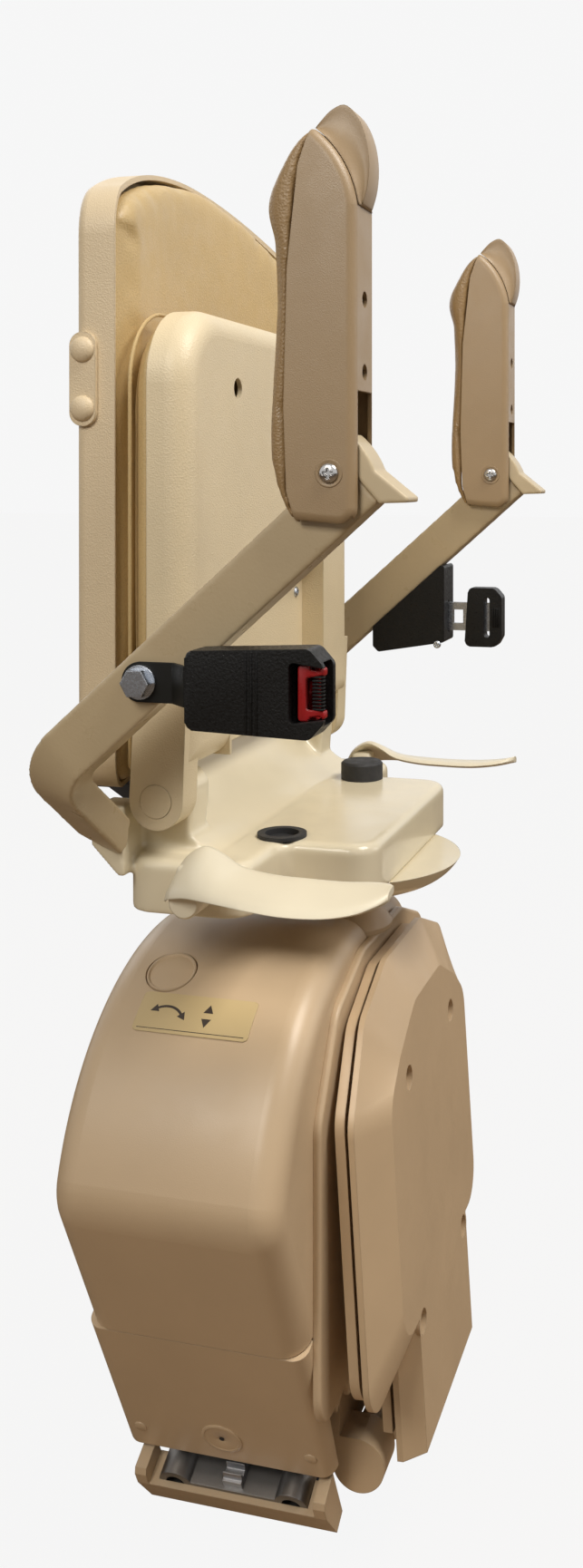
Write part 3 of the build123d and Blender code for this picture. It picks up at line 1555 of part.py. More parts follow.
for name, side in (("right", -1), ("left", 1)):
    with BuildPart() as swivel_lever:
        inner_x = wing_half_width + 3
        root_end = lever_shaft_y + 20
        tip_end = lever_tip_y - 1
        with BuildSketch(level_plane(lever_shaft_z - 20)) as lever_plan:
            with BuildLine():
                Polyline(
                    (side * inner_x, root_end),
                    (side * (lever_reach - 26), root_end),
                    (side * lever_reach, lever_shaft_y - 60),
                    (side * lever_reach, tip_end + 30),
                    (side * (lever_reach - 24), tip_end),
                    (side * inner_x, tip_end),
                    close=True,
                )
            make_face()
            outer_corners = [corner for corner in lever_plan.vertices() if abs(corner.X - post_x) > inner_x + 5]
            fillet(outer_corners, 10)
        extrude(amount=lever_root_z - lever_shaft_z + 40)
        extrude(side_plane(-lever_reach - 5).from_local_coords(lever_profile()), amount=2 * lever_reach + 10,
                mode=Mode.INTERSECT)
        with BuildSketch(side_plane(side * inner_x)):
            with Locations((lever_shaft_y, lever_shaft_z)):
                Circle(16)
        extrude(amount=side * (lever_hub_x - inner_x))
        with BuildSketch(side_plane(side * inner_x)):
            with Locations((lever_shaft_y, lever_shaft_z)):
                Circle(lever_shaft_radius)
        extrude(amount=side * (lever_reach - inner_x + 5), mode=Mode.SUBTRACT)
    save(swivel_lever, name + "_swivel_lever")
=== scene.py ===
from math import cos, pi, radians, sin, sqrt, tan

import bmesh
import bpy
from mathutils import Matrix, Vector


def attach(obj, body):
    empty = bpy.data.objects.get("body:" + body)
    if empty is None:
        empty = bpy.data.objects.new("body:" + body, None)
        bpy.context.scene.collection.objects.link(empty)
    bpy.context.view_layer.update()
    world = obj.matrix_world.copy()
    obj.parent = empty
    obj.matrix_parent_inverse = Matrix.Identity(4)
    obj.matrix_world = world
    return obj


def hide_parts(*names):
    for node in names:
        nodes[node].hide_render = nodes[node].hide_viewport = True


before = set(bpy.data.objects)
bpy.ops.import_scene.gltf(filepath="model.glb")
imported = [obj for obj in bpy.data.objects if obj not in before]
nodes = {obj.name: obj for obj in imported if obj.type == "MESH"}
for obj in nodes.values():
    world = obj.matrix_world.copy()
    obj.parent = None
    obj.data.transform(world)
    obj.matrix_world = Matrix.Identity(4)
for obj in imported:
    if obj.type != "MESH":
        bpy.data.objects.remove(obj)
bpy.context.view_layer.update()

# Places that the chair's construction fixes. The sitter faces -Y, the track climbs to +X.
# POST is the swivel axis, in metres. The others are millimetres from that axis, or above the floor for z.
POST = Vector((-0.052, -0.060, 0.0))
SIDES = ((-1, "right"), (1, "left"))
ARM_HALF_SPACING = 265.0
PIVOT_Y = -77.0
PIVOT_Z = 900.0
PAD_HALF_WIDTH = 23.0
PAD_END_Y = 60.75
PAD_END_Z = 167.5
TRACK_SLOPE = 27.0
TRACK_TOP_HEIGHT = 181.0
CARRIAGE_MIDDLE_Y = 4.0
CARRIAGE_HALF_LENGTH = 190.0
COVER_ARC_RADIUS = 200.0
COVER_ARC_ALONG = -34.0
COVER_ARC_ABOVE = 176.0
LEVER_SHAFT_Y = 53.0
LEVER_SHAFT_Z = 588.0


# ------------------------------------------------------------------ camera, stage and lamps
def photograph_camera():
    """The photographer stands beside the chair, a little in front, at armrest height."""
    turn = radians(14.72)
    pitch = radians(0.31)
    picture_width, picture_height = 643, 1729
    focal_pixels = 1505.9
    axis_u, axis_v = 459.8, 535.0
    data = bpy.data.cameras.new("camera")
    data.sensor_width = 36.0
    data.lens = focal_pixels / picture_height * data.sensor_width
    data.shift_x = (picture_width / 2 - axis_u) / picture_height
    data.shift_y = -(picture_height / 2 - axis_v) / picture_height
    camera = bpy.data.objects.new("camera", data)
    camera.location = (-1.199, -0.423, 0.897)
    forward = Vector((cos(turn) * cos(pitch), sin(turn) * cos(pitch), -sin(pitch)))
    camera.rotation_euler = forward.to_track_quat("-Z", "Y").to_euler()
    bpy.context.scene.collection.objects.link(camera)
    bpy.context.scene.camera = camera


BACKGROUND = (0.925, 0.925, 0.925, 1.0)


def plain_world(strength):
    """A soft grey studio; what the camera, glossy and clear surfaces see of it is near white."""
    world = bpy.data.worlds.new("studio")
    world.use_nodes = True
    tree = world.node_tree
    tree.nodes.clear()
    path = tree.nodes.new("ShaderNodeLightPath")
    clear = tree.nodes.new("ShaderNodeMath")
    clear.operation = "MAXIMUM"
    tree.links.new(path.outputs["Is Camera Ray"], clear.inputs[0])
    tree.links.new(path.outputs["Is Transmission Ray"], clear.inputs[1])
    seen = tree.nodes.new("ShaderNodeMath")
    seen.operation = "MAXIMUM"
    tree.links.new(clear.outputs[0], seen.inputs[0])
    tree.links.new(path.outputs["Is Glossy Ray"], seen.inputs[1])
    light = tree.nodes.new("ShaderNodeBackground")
    light.inputs["Color"].default_value = (1.0, 0.95, 0.88, 1.0)
    light.inputs["Strength"].default_value = strength
    backdrop = tree.nodes.new("ShaderNodeBackground")
    backdrop.inputs["Color"].default_value = BACKGROUND
    backdrop.inputs["Strength"].default_value = 1.0
    mix = tree.nodes.new("ShaderNodeMixShader")
    out = tree.nodes.new("ShaderNodeOutputWorld")
    tree.links.new(seen.outputs[0], mix.inputs["Fac"])
    tree.links.new(light.outputs[0], mix.inputs[1])
    tree.links.new(backdrop.outputs[0], mix.inputs[2])
    tree.links.new(mix.outputs[0], out.inputs["Surface"])
    bpy.context.scene.world = world


def area_lamp(name, place, target, size, power, colour):
    data = bpy.data.lights.new(name, "AREA")
    data.shape = "SQUARE"
    data.size = size
    data.energy = power
    data.color = colour
    lamp = bpy.data.objects.new(name, data)
    lamp.location = place
    lamp.rotation_euler = (Vector(target) - Vector(place)).to_track_quat("-Z", "Y").to_euler()
    bpy.context.scene.collection.objects.link(lamp)


def pale_floor():
    """A wide pale floor that keeps the chair's shadow and otherwise matches the backdrop."""
    mesh = bpy.data.meshes.new("floor")
    reach = 30.0
    mesh.from_pydata([(-reach, -reach, 0), (reach, -reach, 0), (reach, reach, 0), (-reach, reach, 0)],
                     [], [(0, 1, 2, 3)])
    floor = bpy.data.objects.new("floor", mesh)
    bpy.context.scene.collection.objects.link(floor)
    material = bpy.data.materials.new("floor")
    material.use_nodes = True
    tree = material.node_tree
    shader = tree.nodes["Principled BSDF"]
    shader.inputs["Base Color"].default_value = (0.28, 0.20, 0.13, 1.0)
    shader.inputs["Roughness"].default_value = 0.9
    path = tree.nodes.new("ShaderNodeLightPath")
    glow = tree.nodes.new("ShaderNodeEmission")
    glow.inputs["Color"].default_value = BACKGROUND
    glow.inputs["Strength"].default_value = 1.045
    share = tree.nodes.new("ShaderNodeMath")
    share.operation = "MULTIPLY"
    share.inputs[1].default_value = 0.94
    mix = tree.nodes.new("ShaderNodeMixShader")
    tree.links.new(path.outputs["Is Camera Ray"], share.inputs[0])
    tree.links.new(share.outputs[0], mix.inputs["Fac"])
    tree.links.new(shader.outputs[0], mix.inputs[1])
    tree.links.new(glow.outputs[0], mix.inputs[2])
    tree.links.new(mix.outputs[0], tree.nodes["Material Output"].inputs["Surface"])
    mesh.materials.append(material)


photograph_camera()
plain_world(0.10)
area_lamp("key", (-0.40, -1.45, 2.9), (-0.05, -0.05, 0.85), 1.1, 60, (1.0, 0.95, 0.88))
area_lamp("front_fill", (0.9, -2.8, 1.5), (-0.05, -0.05, 0.7), 1.2, 9, (1.0, 0.94, 0.86))
area_lamp("side_fill", (-2.0, 0.35, 1.95), (-0.1, 0.05, 0.65), 0.8, 24, (1.0, 0.95, 0.87))
area_lamp("rear_fill", (1.8, 2.2, 2.2), (0.0, 0.0, 0.7), 1.5, 10, (1.0, 0.98, 0.96))
pale_floor()
bpy.context.scene.view_settings.view_transform = "Standard"


# ------------------------------------------------------------------ finishes
def linear(red, green, blue):
    """A colour written as a screen value from 0 to 255."""
    def channel(value):
        value = value / 255
        return value / 12.92 if value <= 0.04045 else ((value + 0.055) / 1.055) ** 2.4
    return (channel(red), channel(green), channel(blue), 1.0)


def shade(colour, share):
    return (colour[0] * share, colour[1] * share, colour[2] * share, 1.0)


class Finish:
    """A procedural material on the piece's own coordinates, built up step by step."""

    def __init__(self, name, edge=0.0012):
        self.material = bpy.data.materials.new(name)
        self.material.use_nodes = True
        self.tree = self.material.node_tree
        self.shader = self.tree.nodes["Principled BSDF"]
        self.place = self.node("ShaderNodeTexCoord").outputs["Object"]
        soft_edges = self.node("ShaderNodeBevel")
        soft_edges.samples = 2
        soft_edges.inputs["Radius"].default_value = edge
        self.normal = soft_edges.outputs["Normal"]

    def node(self, kind):
        return self.tree.nodes.new(kind)

    def link(self, source, target):
        self.tree.links.new(source, target)

    def set(self, **values):
        for socket, value in values.items():
            self.shader.inputs[socket.replace("_", " ")].default_value = value

    def noise(self, scale, detail=3.0, rough=0.5, stretch=None):
        texture = self.node("ShaderNodeTexNoise")
        texture.inputs["Scale"].default_value = scale
        texture.inputs["Detail"].default_value = detail
        texture.inputs["Roughness"].default_value = rough
        source = self.place
        if stretch:
            mapping = self.node("ShaderNodeMapping")
            mapping.inputs["Scale"].default_value = stretch
            self.link(source, mapping.inputs["Vector"])
            source = mapping.outputs["Vector"]
        self.link(source, texture.inputs["Vector"])
        return texture.outputs["Fac"]

    def cells(self, scale, smooth=0.4):
        texture = self.node("ShaderNodeTexVoronoi")
        texture.feature = "SMOOTH_F1"
        texture.inputs["Scale"].default_value = scale
        texture.inputs["Smoothness"].default_value = smooth
        self.link(self.place, texture.inputs["Vector"])
        return texture.outputs["Distance"]

    def ramp(self, source, low, high, out_low, out_high):
        spread = self.node("ShaderNodeMapRange")
        spread.inputs["From Min"].default_value = low
        spread.inputs["From Max"].default_value = high
        spread.inputs["To Min"].default_value = out_low
        spread.inputs["To Max"].default_value = out_high
        self.link(source, spread.inputs["Value"])
        return spread.outputs["Result"]

    def colour(self, first, second, source):
        mix = self.node("ShaderNodeMix")
        mix.data_type = "RGBA"
        mix.inputs["A"].default_value = first
        mix.inputs["B"].default_value = second
        self.link(source, mix.inputs["Factor"])
        self.link(mix.outputs["Result"], self.shader.inputs["Base Color"])
        return mix

    def roughness(self, source, low, high):
        self.link(self.ramp(source, 0.3, 0.7, low, high), self.shader.inputs["Roughness"])

    def relief(self, source, depth, strength=1.0):
        bump = self.node("ShaderNodeBump")
        bump.inputs["Distance"].default_value = depth
        bump.inputs["Strength"].default_value = strength
        self.link(source, bump.inputs["Height"])
        self.link(self.normal, bump.inputs["Normal"])
        self.normal = bump.outputs["Normal"]
        self.link(self.normal, self.shader.inputs["Normal"])


def moulded(name, colour, rough, grain=0.0, cell=900, mottle=0.05, gloss=0.5, wave=0.0006):
    """Moulded plastic: a faint cloudiness, and a leather-like grain where it has one."""
    finish = Finish(name)
    cloud = finish.noise(9.0, 4.0, 0.55)
    finish.colour(shade(colour, 1 - mottle), shade(colour, 1 + mottle * 0.6),
                  finish.ramp(cloud, 0.3, 0.7, 0.0, 1.0))
    finish.roughness(finish.noise(38.0, 3.0), rough - 0.05, rough + 0.07)
    finish.set(Specular_IOR_Level=gloss)
    finish.relief(finish.noise(22.0, 2.0), wave, 0.35)
    if grain:
        finish.relief(finish.cells(cell), grain, 0.8)
        finish.relief(finish.noise(cell * 1.7, 2.0), grain * 0.5, 0.5)
    return finish.material


def vinyl(name, colour, grain, cell, rough=0.42):
    """Upholstery vinyl: creased grain with painted shade darkening its creases, and a soft sheen."""
    finish = Finish(name)
    crease = finish.cells(cell, 0.25)
    cloud = finish.noise(7.0, 4.0)
    # The grain's creases are painted darker: painted shade in the creases, on top of their relief.
    mix = finish.colour(shade(colour, 0.84), shade(colour, 1.03), finish.ramp(crease, 0.05, 0.35, 0.0, 1.0))
    tint = finish.node("ShaderNodeMix")
    tint.data_type = "RGBA"
    tint.blend_type = "MULTIPLY"
    tint.inputs["Factor"].default_value = 1.0
    shade_of = finish.node("ShaderNodeCombineColor")
    level = finish.ramp(cloud, 0.3, 0.7, 0.93, 1.04)
    for channel in ("Red", "Green", "Blue"):
        finish.link(level, shade_of.inputs[channel])
    finish.link(mix.outputs["Result"], tint.inputs["A"])
    finish.link(shade_of.outputs["Color"], tint.inputs["B"])
    finish.link(tint.outputs["Result"], finish.shader.inputs["Base Color"])
    finish.roughness(finish.noise(55.0, 3.0), rough - 0.06, rough + 0.10)
    finish.set(Sheen_Weight=0.06, Sheen_Roughness=0.5)
    finish.relief(finish.noise(30.0, 2.0), 0.0009, 0.3)
    finish.relief(crease, grain, 0.9)
    finish.relief(finish.noise(cell * 2.2, 2.0), grain * 0.4, 0.5)
    return finish.material


def enamel(name, colour, rough):
    """Sprayed paint on metal, with a slight orange peel."""
    finish = Finish(name)
    finish.colour(shade(colour, 0.96), shade(colour, 1.03), finish.noise(12.0, 4.0))
    finish.roughness(finish.noise(60.0, 3.0), rough - 0.04, rough + 0.06)
    finish.set(Coat_Weight=0.15, Coat_Roughness=0.25)
    finish.relief(finish.noise(420.0, 2.0), 0.00025, 0.4)
    return finish.material


def bare_metal(name, colour, rough, stretch=(1, 1, 1)):
    """Plated or machined metal with fine drawn marks and slight cloudiness."""
    finish = Finish(name)
    finish.colour(shade(colour, 0.88), shade(colour, 1.04), finish.noise(40.0, 2.0))
    marks = finish.noise(700.0, 3.0, 0.6, stretch)
    finish.roughness(marks, rough - 0.02, rough + 0.05)
    finish.set(Metallic=1.0)
    finish.relief(marks, 0.00003, 0.6)
    return finish.material


def rubber(name, colour):
    finish = Finish(name)
    finish.colour(shade(colour, 0.7), shade(colour, 1.5), finish.noise(150.0, 4.0))
    finish.roughness(finish.noise(90.0), 0.55, 0.8)
    finish.relief(finish.noise(900.0, 2.0), 0.00015, 0.6)
    return finish.material


def sparkled_black(name, colour):
    """Coarse textured black plastic whose peaks catch the light."""
    finish = Finish(name)
    finish.colour(shade(colour, 0.7), shade(colour, 1.6), finish.noise(320.0, 4.0))
    finish.roughness(finish.noise(500.0, 3.0), 0.26, 0.50)
    finish.set(Specular_IOR_Level=0.20)
    finish.relief(finish.noise(520.0, 3.0, 0.6), 0.0005, 0.8)
    return finish.material


SHELL = linear(214, 196, 165)
# The armrests' colour is the shell's beige made darker: painted shade, a shaded copy of the shell colour for
# the armrests, their rockers and their pivot cups.
ARM_PAINTED_SHADE = linear(160, 137, 106)
CREAM = linear(225, 210, 178)
GLOSS = linear(228, 218, 192)
CARRIAGE = linear(206, 182, 150)
TAN = linear(200, 174, 124)

beige_shell = moulded("beige_shell", SHELL, 0.44, grain=0.00022, cell=850)
cream_shell = moulded("cream_shell", CREAM, 0.42, grain=0.00022, cell=800)
cream_gloss = moulded("cream_gloss", GLOSS, 0.20, mottle=0.03, gloss=0.55, wave=0.00006)
# This finish is beige_shell's plastic in a darker colour: painted shade on the armrests, rockers and pivot
# cups.
arm_shell_painted_shade = moulded("arm_shell_painted_shade", ARM_PAINTED_SHADE, 0.40, grain=0.00009, cell=1500)
cap_plastic = moulded("cap_plastic", linear(200, 184, 153), 0.40, mottle=0.03)
cream_lever = moulded("cream_lever", linear(232, 224, 202), 0.33, mottle=0.03)
carriage_plastic = moulded("carriage_plastic", CARRIAGE, 0.36, grain=0.00005, cell=1500,
                           mottle=0.04, wave=0.00015)
footrest_plastic = moulded("footrest_plastic", linear(205, 180, 147), 0.38, grain=0.00005, cell=1500,
                           wave=0.00015)
bar_paint = enamel("bar_paint", linear(186, 168, 136), 0.30)
tan_vinyl = vinyl("tan_vinyl", TAN, 0.00022, 620)
grip_vinyl = vinyl("grip_vinyl", linear(150, 122, 82), 0.0003, 560, 0.38)
black_plastic = sparkled_black("black_plastic", (0.007, 0.007, 0.007, 1.0))
smooth_black = moulded("smooth_black", (0.007, 0.007, 0.006, 1.0), 0.44, gloss=0.22)
red_plastic = moulded("red_plastic", (0.34, 0.008, 0.010, 1.0), 0.30)
black_rubber = rubber("black_rubber", (0.014, 0.014, 0.015, 1.0))
zinc = bare_metal("zinc", (0.50, 0.53, 0.58, 1.0), 0.24)
chrome = bare_metal("chrome", (0.50, 0.49, 0.48, 1.0), 0.14)
steel = bare_metal("steel", (0.36, 0.36, 0.37, 1.0), 0.34)
brushed_rail = bare_metal("brushed_rail", (0.20, 0.19, 0.18, 1.0), 0.42, stretch=(0.08, 1, 1))
black_steel = enamel("black_steel", (0.018, 0.018, 0.020, 1.0), 0.40)
motor_paint = enamel("motor_paint", (0.035, 0.038, 0.042, 1.0), 0.45)
battery_case = moulded("battery_case", (0.020, 0.020, 0.022, 1.0), 0.50)
nylon = moulded("nylon", (0.58, 0.57, 0.52, 1.0), 0.45, mottle=0.03)
label_film = moulded("label_film", linear(208, 186, 140), 0.30, mottle=0.04)

FINISH_OF = {
    "track_rail": brushed_rail, "track_rack": steel, "track_end_cap": carriage_plastic,
    "track_foot": black_steel, "track_foot_bolts": zinc,
    "lower_end_cover": carriage_plastic, "upper_end_cover": carriage_plastic,
    "direction_label": label_film, "carriage_chassis": black_steel, "post_socket": carriage_plastic,
    "roller_axles": steel, "drive_gearbox": motor_paint, "drive_motor": motor_paint,
    "battery_pack": battery_case, "carriage_front_cover": carriage_plastic,
    "footrest_bracket": footrest_plastic, "footrest_hinge_pin": steel,
    "hand_winding_cap": carriage_plastic, "lower_safety_flap": carriage_plastic,
    "upper_safety_flap": carriage_plastic, "lower_axle_rollers": nylon, "upper_axle_rollers": nylon,
    "under_rollers": nylon, "drive_pinion": steel, "footrest_tray": footrest_plastic,
    "pan_screws": steel, "footrest_pan": footrest_plastic, "seat_post": chrome,
    "swivel_housing": cream_gloss, "seat_base": cream_gloss, "seat_hinge_pins": steel,
    "seat_buffers": black_rubber, "right_arm_bar": bar_paint, "left_arm_bar": bar_paint,
    "arm_bar_caps": cap_plastic, "backrest_shell": beige_shell, "backrest_cushion": tan_vinyl,
    "back_bracket": black_steel, "back_bolt_covers": beige_shell, "armrest_pivot_screws": chrome,
    "buckle_strap": smooth_black, "buckle_bolt": zinc, "buckle_body": black_plastic,
    "belt_retractor": black_plastic, "tongue_blade": zinc, "tongue_grip": black_plastic,
    "seat_shell": cream_shell, "seat_cushion": tan_vinyl, "seat_hinge_caps": cream_shell,
    "right_armrest_shell": arm_shell_painted_shade, "left_armrest_shell": arm_shell_painted_shade,
    "right_armrest_pad": grip_vinyl, "left_armrest_pad": grip_vinyl,
    "right_toggle": beige_shell, "left_toggle": beige_shell, "buckle_button": red_plastic,
    "lever_shaft": steel, "right_swivel_lever": cream_lever, "left_swivel_lever": cream_lever,
}
for node_name, finish_material in FINISH_OF.items():
    for material_slot in nodes[node_name].material_slots:
        material_slot.material = finish_material


# ------------------------------------------------------------------ making pieces
def at(x, y, z):
    """A point in metres from millimetres measured from the swivel axis."""
    return POST + Vector((x, y, z)) / 1000


def on_track(along, above, y):
    """A point in metres from millimetres along and above the track's top face."""
    slope = radians(TRACK_SLOPE)
    x = along * cos(slope) - above * sin(slope)
    z = TRACK_TOP_HEIGHT + along * sin(slope) + above * cos(slope)
    return Vector((x, y, z)) / 1000


def mesh_of(name, bm, recalculate=True):
    if recalculate:
        bmesh.ops.recalc_face_normals(bm, faces=bm.faces)
    mesh = bpy.data.meshes.new(name)
    bm.to_mesh(mesh)
    bm.free()
    return mesh


def piece(name, mesh, finish, body, slot, *stands_for, crease=38):
    """A finished piece at the origin, with its material and its body; its slot argument is not used."""
    obj = bpy.data.objects.new(name, mesh)
    bpy.context.scene.collection.objects.link(obj)
    mesh.materials.clear()
    mesh.materials.append(finish)
    mesh.shade_smooth()
    mesh.set_sharp_from_angle(angle=radians(crease))
    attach(obj, body)
    if stands_for:
        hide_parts(*stands_for)
    return obj


def settled(obj):
    """The object's mesh with its modifiers made final."""
    graph = bpy.context.evaluated_depsgraph_get()
    return bpy.data.meshes.new_from_object(obj.evaluated_get(graph))


def with_modifiers(mesh, *steps):
    """A mesh worked by modifiers, each given as (kind, settings)."""
    obj = bpy.data.objects.new("work", mesh)
    bpy.context.scene.collection.objects.link(obj)
    for kind, settings in steps:
        modifier = obj.modifiers.new(kind.lower(), kind)
        for key, value in settings.items():
            setattr(modifier, key, value)
    made = settled(obj)
    bpy.data.objects.remove(obj)
    return made


def rounded_block(low, high, radius, segments):
    """A block with rounded edges between two corners, in metres."""
    bm = bmesh.new()
    bmesh.ops.create_cube(bm, size=1.0)
    low, high = [Vector([pick(a, b) for a, b in zip(low, high)]) for pick in (min, max)]
    for vertex in bm.verts:
        share = vertex.co + Vector((0.5, 0.5, 0.5))
        vertex.co = Vector([low[i] + (high[i] - low[i]) * share[i] for i in range(3)])
    bmesh.ops.bevel(bm, geom=bm.edges, offset=radius, segments=segments, profile=0.5,
                    affect="EDGES", clamp_overlap=True)
    return bm


def prism(points, place, low, high, radius=0.0, segments=3):
    """A plate of the outline (a, b) between two heights; place turns (a, b, height) into a point."""
    bm = bmesh.new()
    base = [bm.verts.new(place(a, b, low)) for a, b in points]
    top = [bm.verts.new(place(a, b, high)) for a, b in points]
    bm.faces.new(base)
    bm.faces.new(list(reversed(top)))
    count = len(points)
    for i in range(count):
        bm.faces.new((base[i], top[i], top[(i + 1) % count], base[(i + 1) % count]))
    if radius:
        rim = [edge for edge in bm.edges if edge.verts[0] in top and edge.verts[1] in top]
        bmesh.ops.bevel(bm, geom=rim, offset=radius, segments=segments, profile=0.5,
                        affect="EDGES", clamp_overlap=True)
    return bm


def turned(profile, centre, axis, steps=56):
    """A turned form: profile of (radius, height) along the axis, closed on the axis at both ends."""
    bm = bmesh.new()
    axis = Vector(axis).normalized()
    side = axis.orthogonal().normalized()
    other = axis.cross(side)
    rings = []
    for radius, height in profile:
        if radius < 1e-7:
            rings.append([bm.verts.new(centre + axis * height)])
        else:
            turns = [2 * pi * k / steps for k in range(steps)]
            rings.append([
                bm.verts.new(centre + axis * height + side * radius * cos(turn) + other * radius * sin(turn))
                for turn in turns
            ])
    for lower, upper in zip(rings, rings[1:]):
        for k in range(steps):
            ring = [lower[k % len(lower)], lower[(k + 1) % len(lower)],
                    upper[(k + 1) % len(upper)], upper[k % len(upper)]]
            corners = list(dict.fromkeys(ring))
            if len(corners) > 2:
                bm.faces.new(corners)
    return bm


def bead(points, radius, steps=8):
    """A round bead laid along a closed line of points."""
    bm = bmesh.new()
    count = len(points)
    rings = []
    for i, point in enumerate(points):
        run = (points[(i + 1) % count] - points[i - 1]).normalized()
        side = run.cross(Vector((0, 1, 0)))
        side = side.normalized() if side.length > 0.1 else run.orthogonal().normalized()
        up = run.cross(side)
        turns = [2 * pi * k / steps for k in range(steps)]
        rings.append([
            bm.verts.new(point + side * radius * cos(turn) + up * radius * sin(turn)) for turn in turns
        ])
    for i in range(count):
        first, second = rings[i], rings[(i + 1) % count]
        for k in range(steps):
            bm.faces.new((first[k], first[(k + 1) % steps], second[(k + 1) % steps], second[k]))
    return bm


def rounded_polygon(corners, radii, steps=8):
    """Points of a polygon whose corners are rounded, each by its own radius."""
    points = []
    count = len(corners)
    for i, (corner, radius) in enumerate(zip(corners, radii)):
        here = Vector(corner)
        back = (Vector(corners[i - 1]) - here).normalized()
        ahead = (Vector(corners[(i + 1) % count]) - here).normalized()
        if radius <= 0:
            points.append(here)
            continue
        half = back.angle(ahead) / 2
        reach = radius / tan(half)
        middle = here + (back + ahead).normalized() * radius / sin(half)
        first = here + back * reach - middle
        second = here + ahead * reach - middle
        turn = first.angle_signed(second) if first.length and second.length else 0.0
        for k in range(steps + 1):
            angle = -turn * k / steps
            points.append(middle + Vector((first.x * cos(angle) - first.y * sin(angle),
                                           first.x * sin(angle) + first.y * cos(angle))))
    return [(point.x, point.y) for point in points]


def cut(mesh, *cutters):
    """The mesh with cutters taken out of it."""
    obj = bpy.data.objects.new("work", mesh)
    bpy.context.scene.collection.objects.link(obj)
    tools = []
    for cutter in cutters:
        tool = bpy.data.objects.new("cutter", cutter)
        bpy.context.scene.collection.objects.link(tool)
        step = obj.modifiers.new("cut", "BOOLEAN")
        step.operation = "DIFFERENCE"
        step.solver = "EXACT"
        step.object = tool
        tools.append(tool)
    made = settled(obj)
    for tool in tools + [obj]:
        bpy.data.objects.remove(tool)
    return made


def joined(*meshes):
    """One mesh of several, each a mesh or a bmesh."""
    bm = bmesh.new()
    for mesh in meshes:
        if isinstance(mesh, bmesh.types.BMesh):
            bmesh.ops.recalc_face_normals(mesh, faces=mesh.faces)
            made = bpy.data.meshes.new("part")
            mesh.to_mesh(made)
            mesh.free()
            mesh = made
        bm.from_mesh(mesh)
    return mesh_of("joined", bm, recalculate=False)


# ------------------------------------------------------------------ repeats by Geometry Nodes
def row_tree():
    """Copies of one form in a straight row: count, spacing and start are its inputs."""
    tree = bpy.data.node_groups.new("row_of_forms", "GeometryNodeTree")
    for name, kind in (("Geometry", "Geometry"), ("Count", "Int"), ("Spacing", "Vector"), ("Start", "Vector"),
                       ("Finish", "Material")):
        tree.interface.new_socket(name, in_out="INPUT", socket_type="NodeSocket" + kind)
    tree.interface.new_socket("Geometry", in_out="OUTPUT", socket_type="NodeSocketGeometry")
    inputs = tree.nodes.new("NodeGroupInput")
    line = tree.nodes.new("GeometryNodeMeshLine")
    line.mode = "OFFSET"
    instances = tree.nodes.new("GeometryNodeInstanceOnPoints")
    realize = tree.nodes.new("GeometryNodeRealizeInstances")
    finish = tree.nodes.new("GeometryNodeSetMaterial")
    outputs = tree.nodes.new("NodeGroupOutput")
    tree.links.new(inputs.outputs["Count"], line.inputs["Count"])
    tree.links.new(inputs.outputs["Spacing"], line.inputs["Offset"])
    tree.links.new(inputs.outputs["Start"], line.inputs["Start Location"])
    tree.links.new(line.outputs["Mesh"], instances.inputs["Points"])
    tree.links.new(inputs.outputs["Geometry"], instances.inputs["Instance"])
    tree.links.new(instances.outputs["Instances"], realize.inputs["Geometry"])
    tree.links.new(realize.outputs["Geometry"], finish.inputs["Geometry"])
    tree.links.new(inputs.outputs["Finish"], finish.inputs["Material"])
    tree.links.new(finish.outputs["Geometry"], outputs.inputs["Geometry"])
    return tree


ROW = row_tree()


def row_of(mesh, count, start, spacing, finish):
    """A row of copies of a form that is drawn about the origin."""
    obj = bpy.data.objects.new("row", mesh)
    bpy.context.scene.collection.objects.link(obj)
    nodes_step = obj.modifiers.new("row", "NODES")
    nodes_step.node_group = ROW
    values = {"Count": count, "Spacing": tuple(spacing), "Start": tuple(start), "Finish": finish}
    for socket in ROW.interface.items_tree:
        if socket.in_out == "INPUT" and socket.name in values:
            nodes_step[socket.identifier] = values[socket.name]
    made = settled(obj)
    bpy.data.objects.remove(obj)
    return made


# ------------------------------------------------------------------ cushions and pads
CLOTH_FRAMES = 20


def node_form(node, name):
    """The mesh of a node's own form, with its seams closed."""
    bm = bmesh.new()
    bm.from_mesh(nodes[node].data)
    bmesh.ops.remove_doubles(bm, verts=bm.verts, dist=1e-6)
    return mesh_of(name, bm)


def worn(mesh, voxel, passes):
    """The mesh built again from small cells and smoothed, which wears its edges round."""
    return with_modifiers(mesh, ("REMESH", {"mode": "VOXEL", "voxel_size": voxel, "use_smooth_shade": True}),
                          ("SMOOTH", {"factor": 0.5, "iterations": passes}))


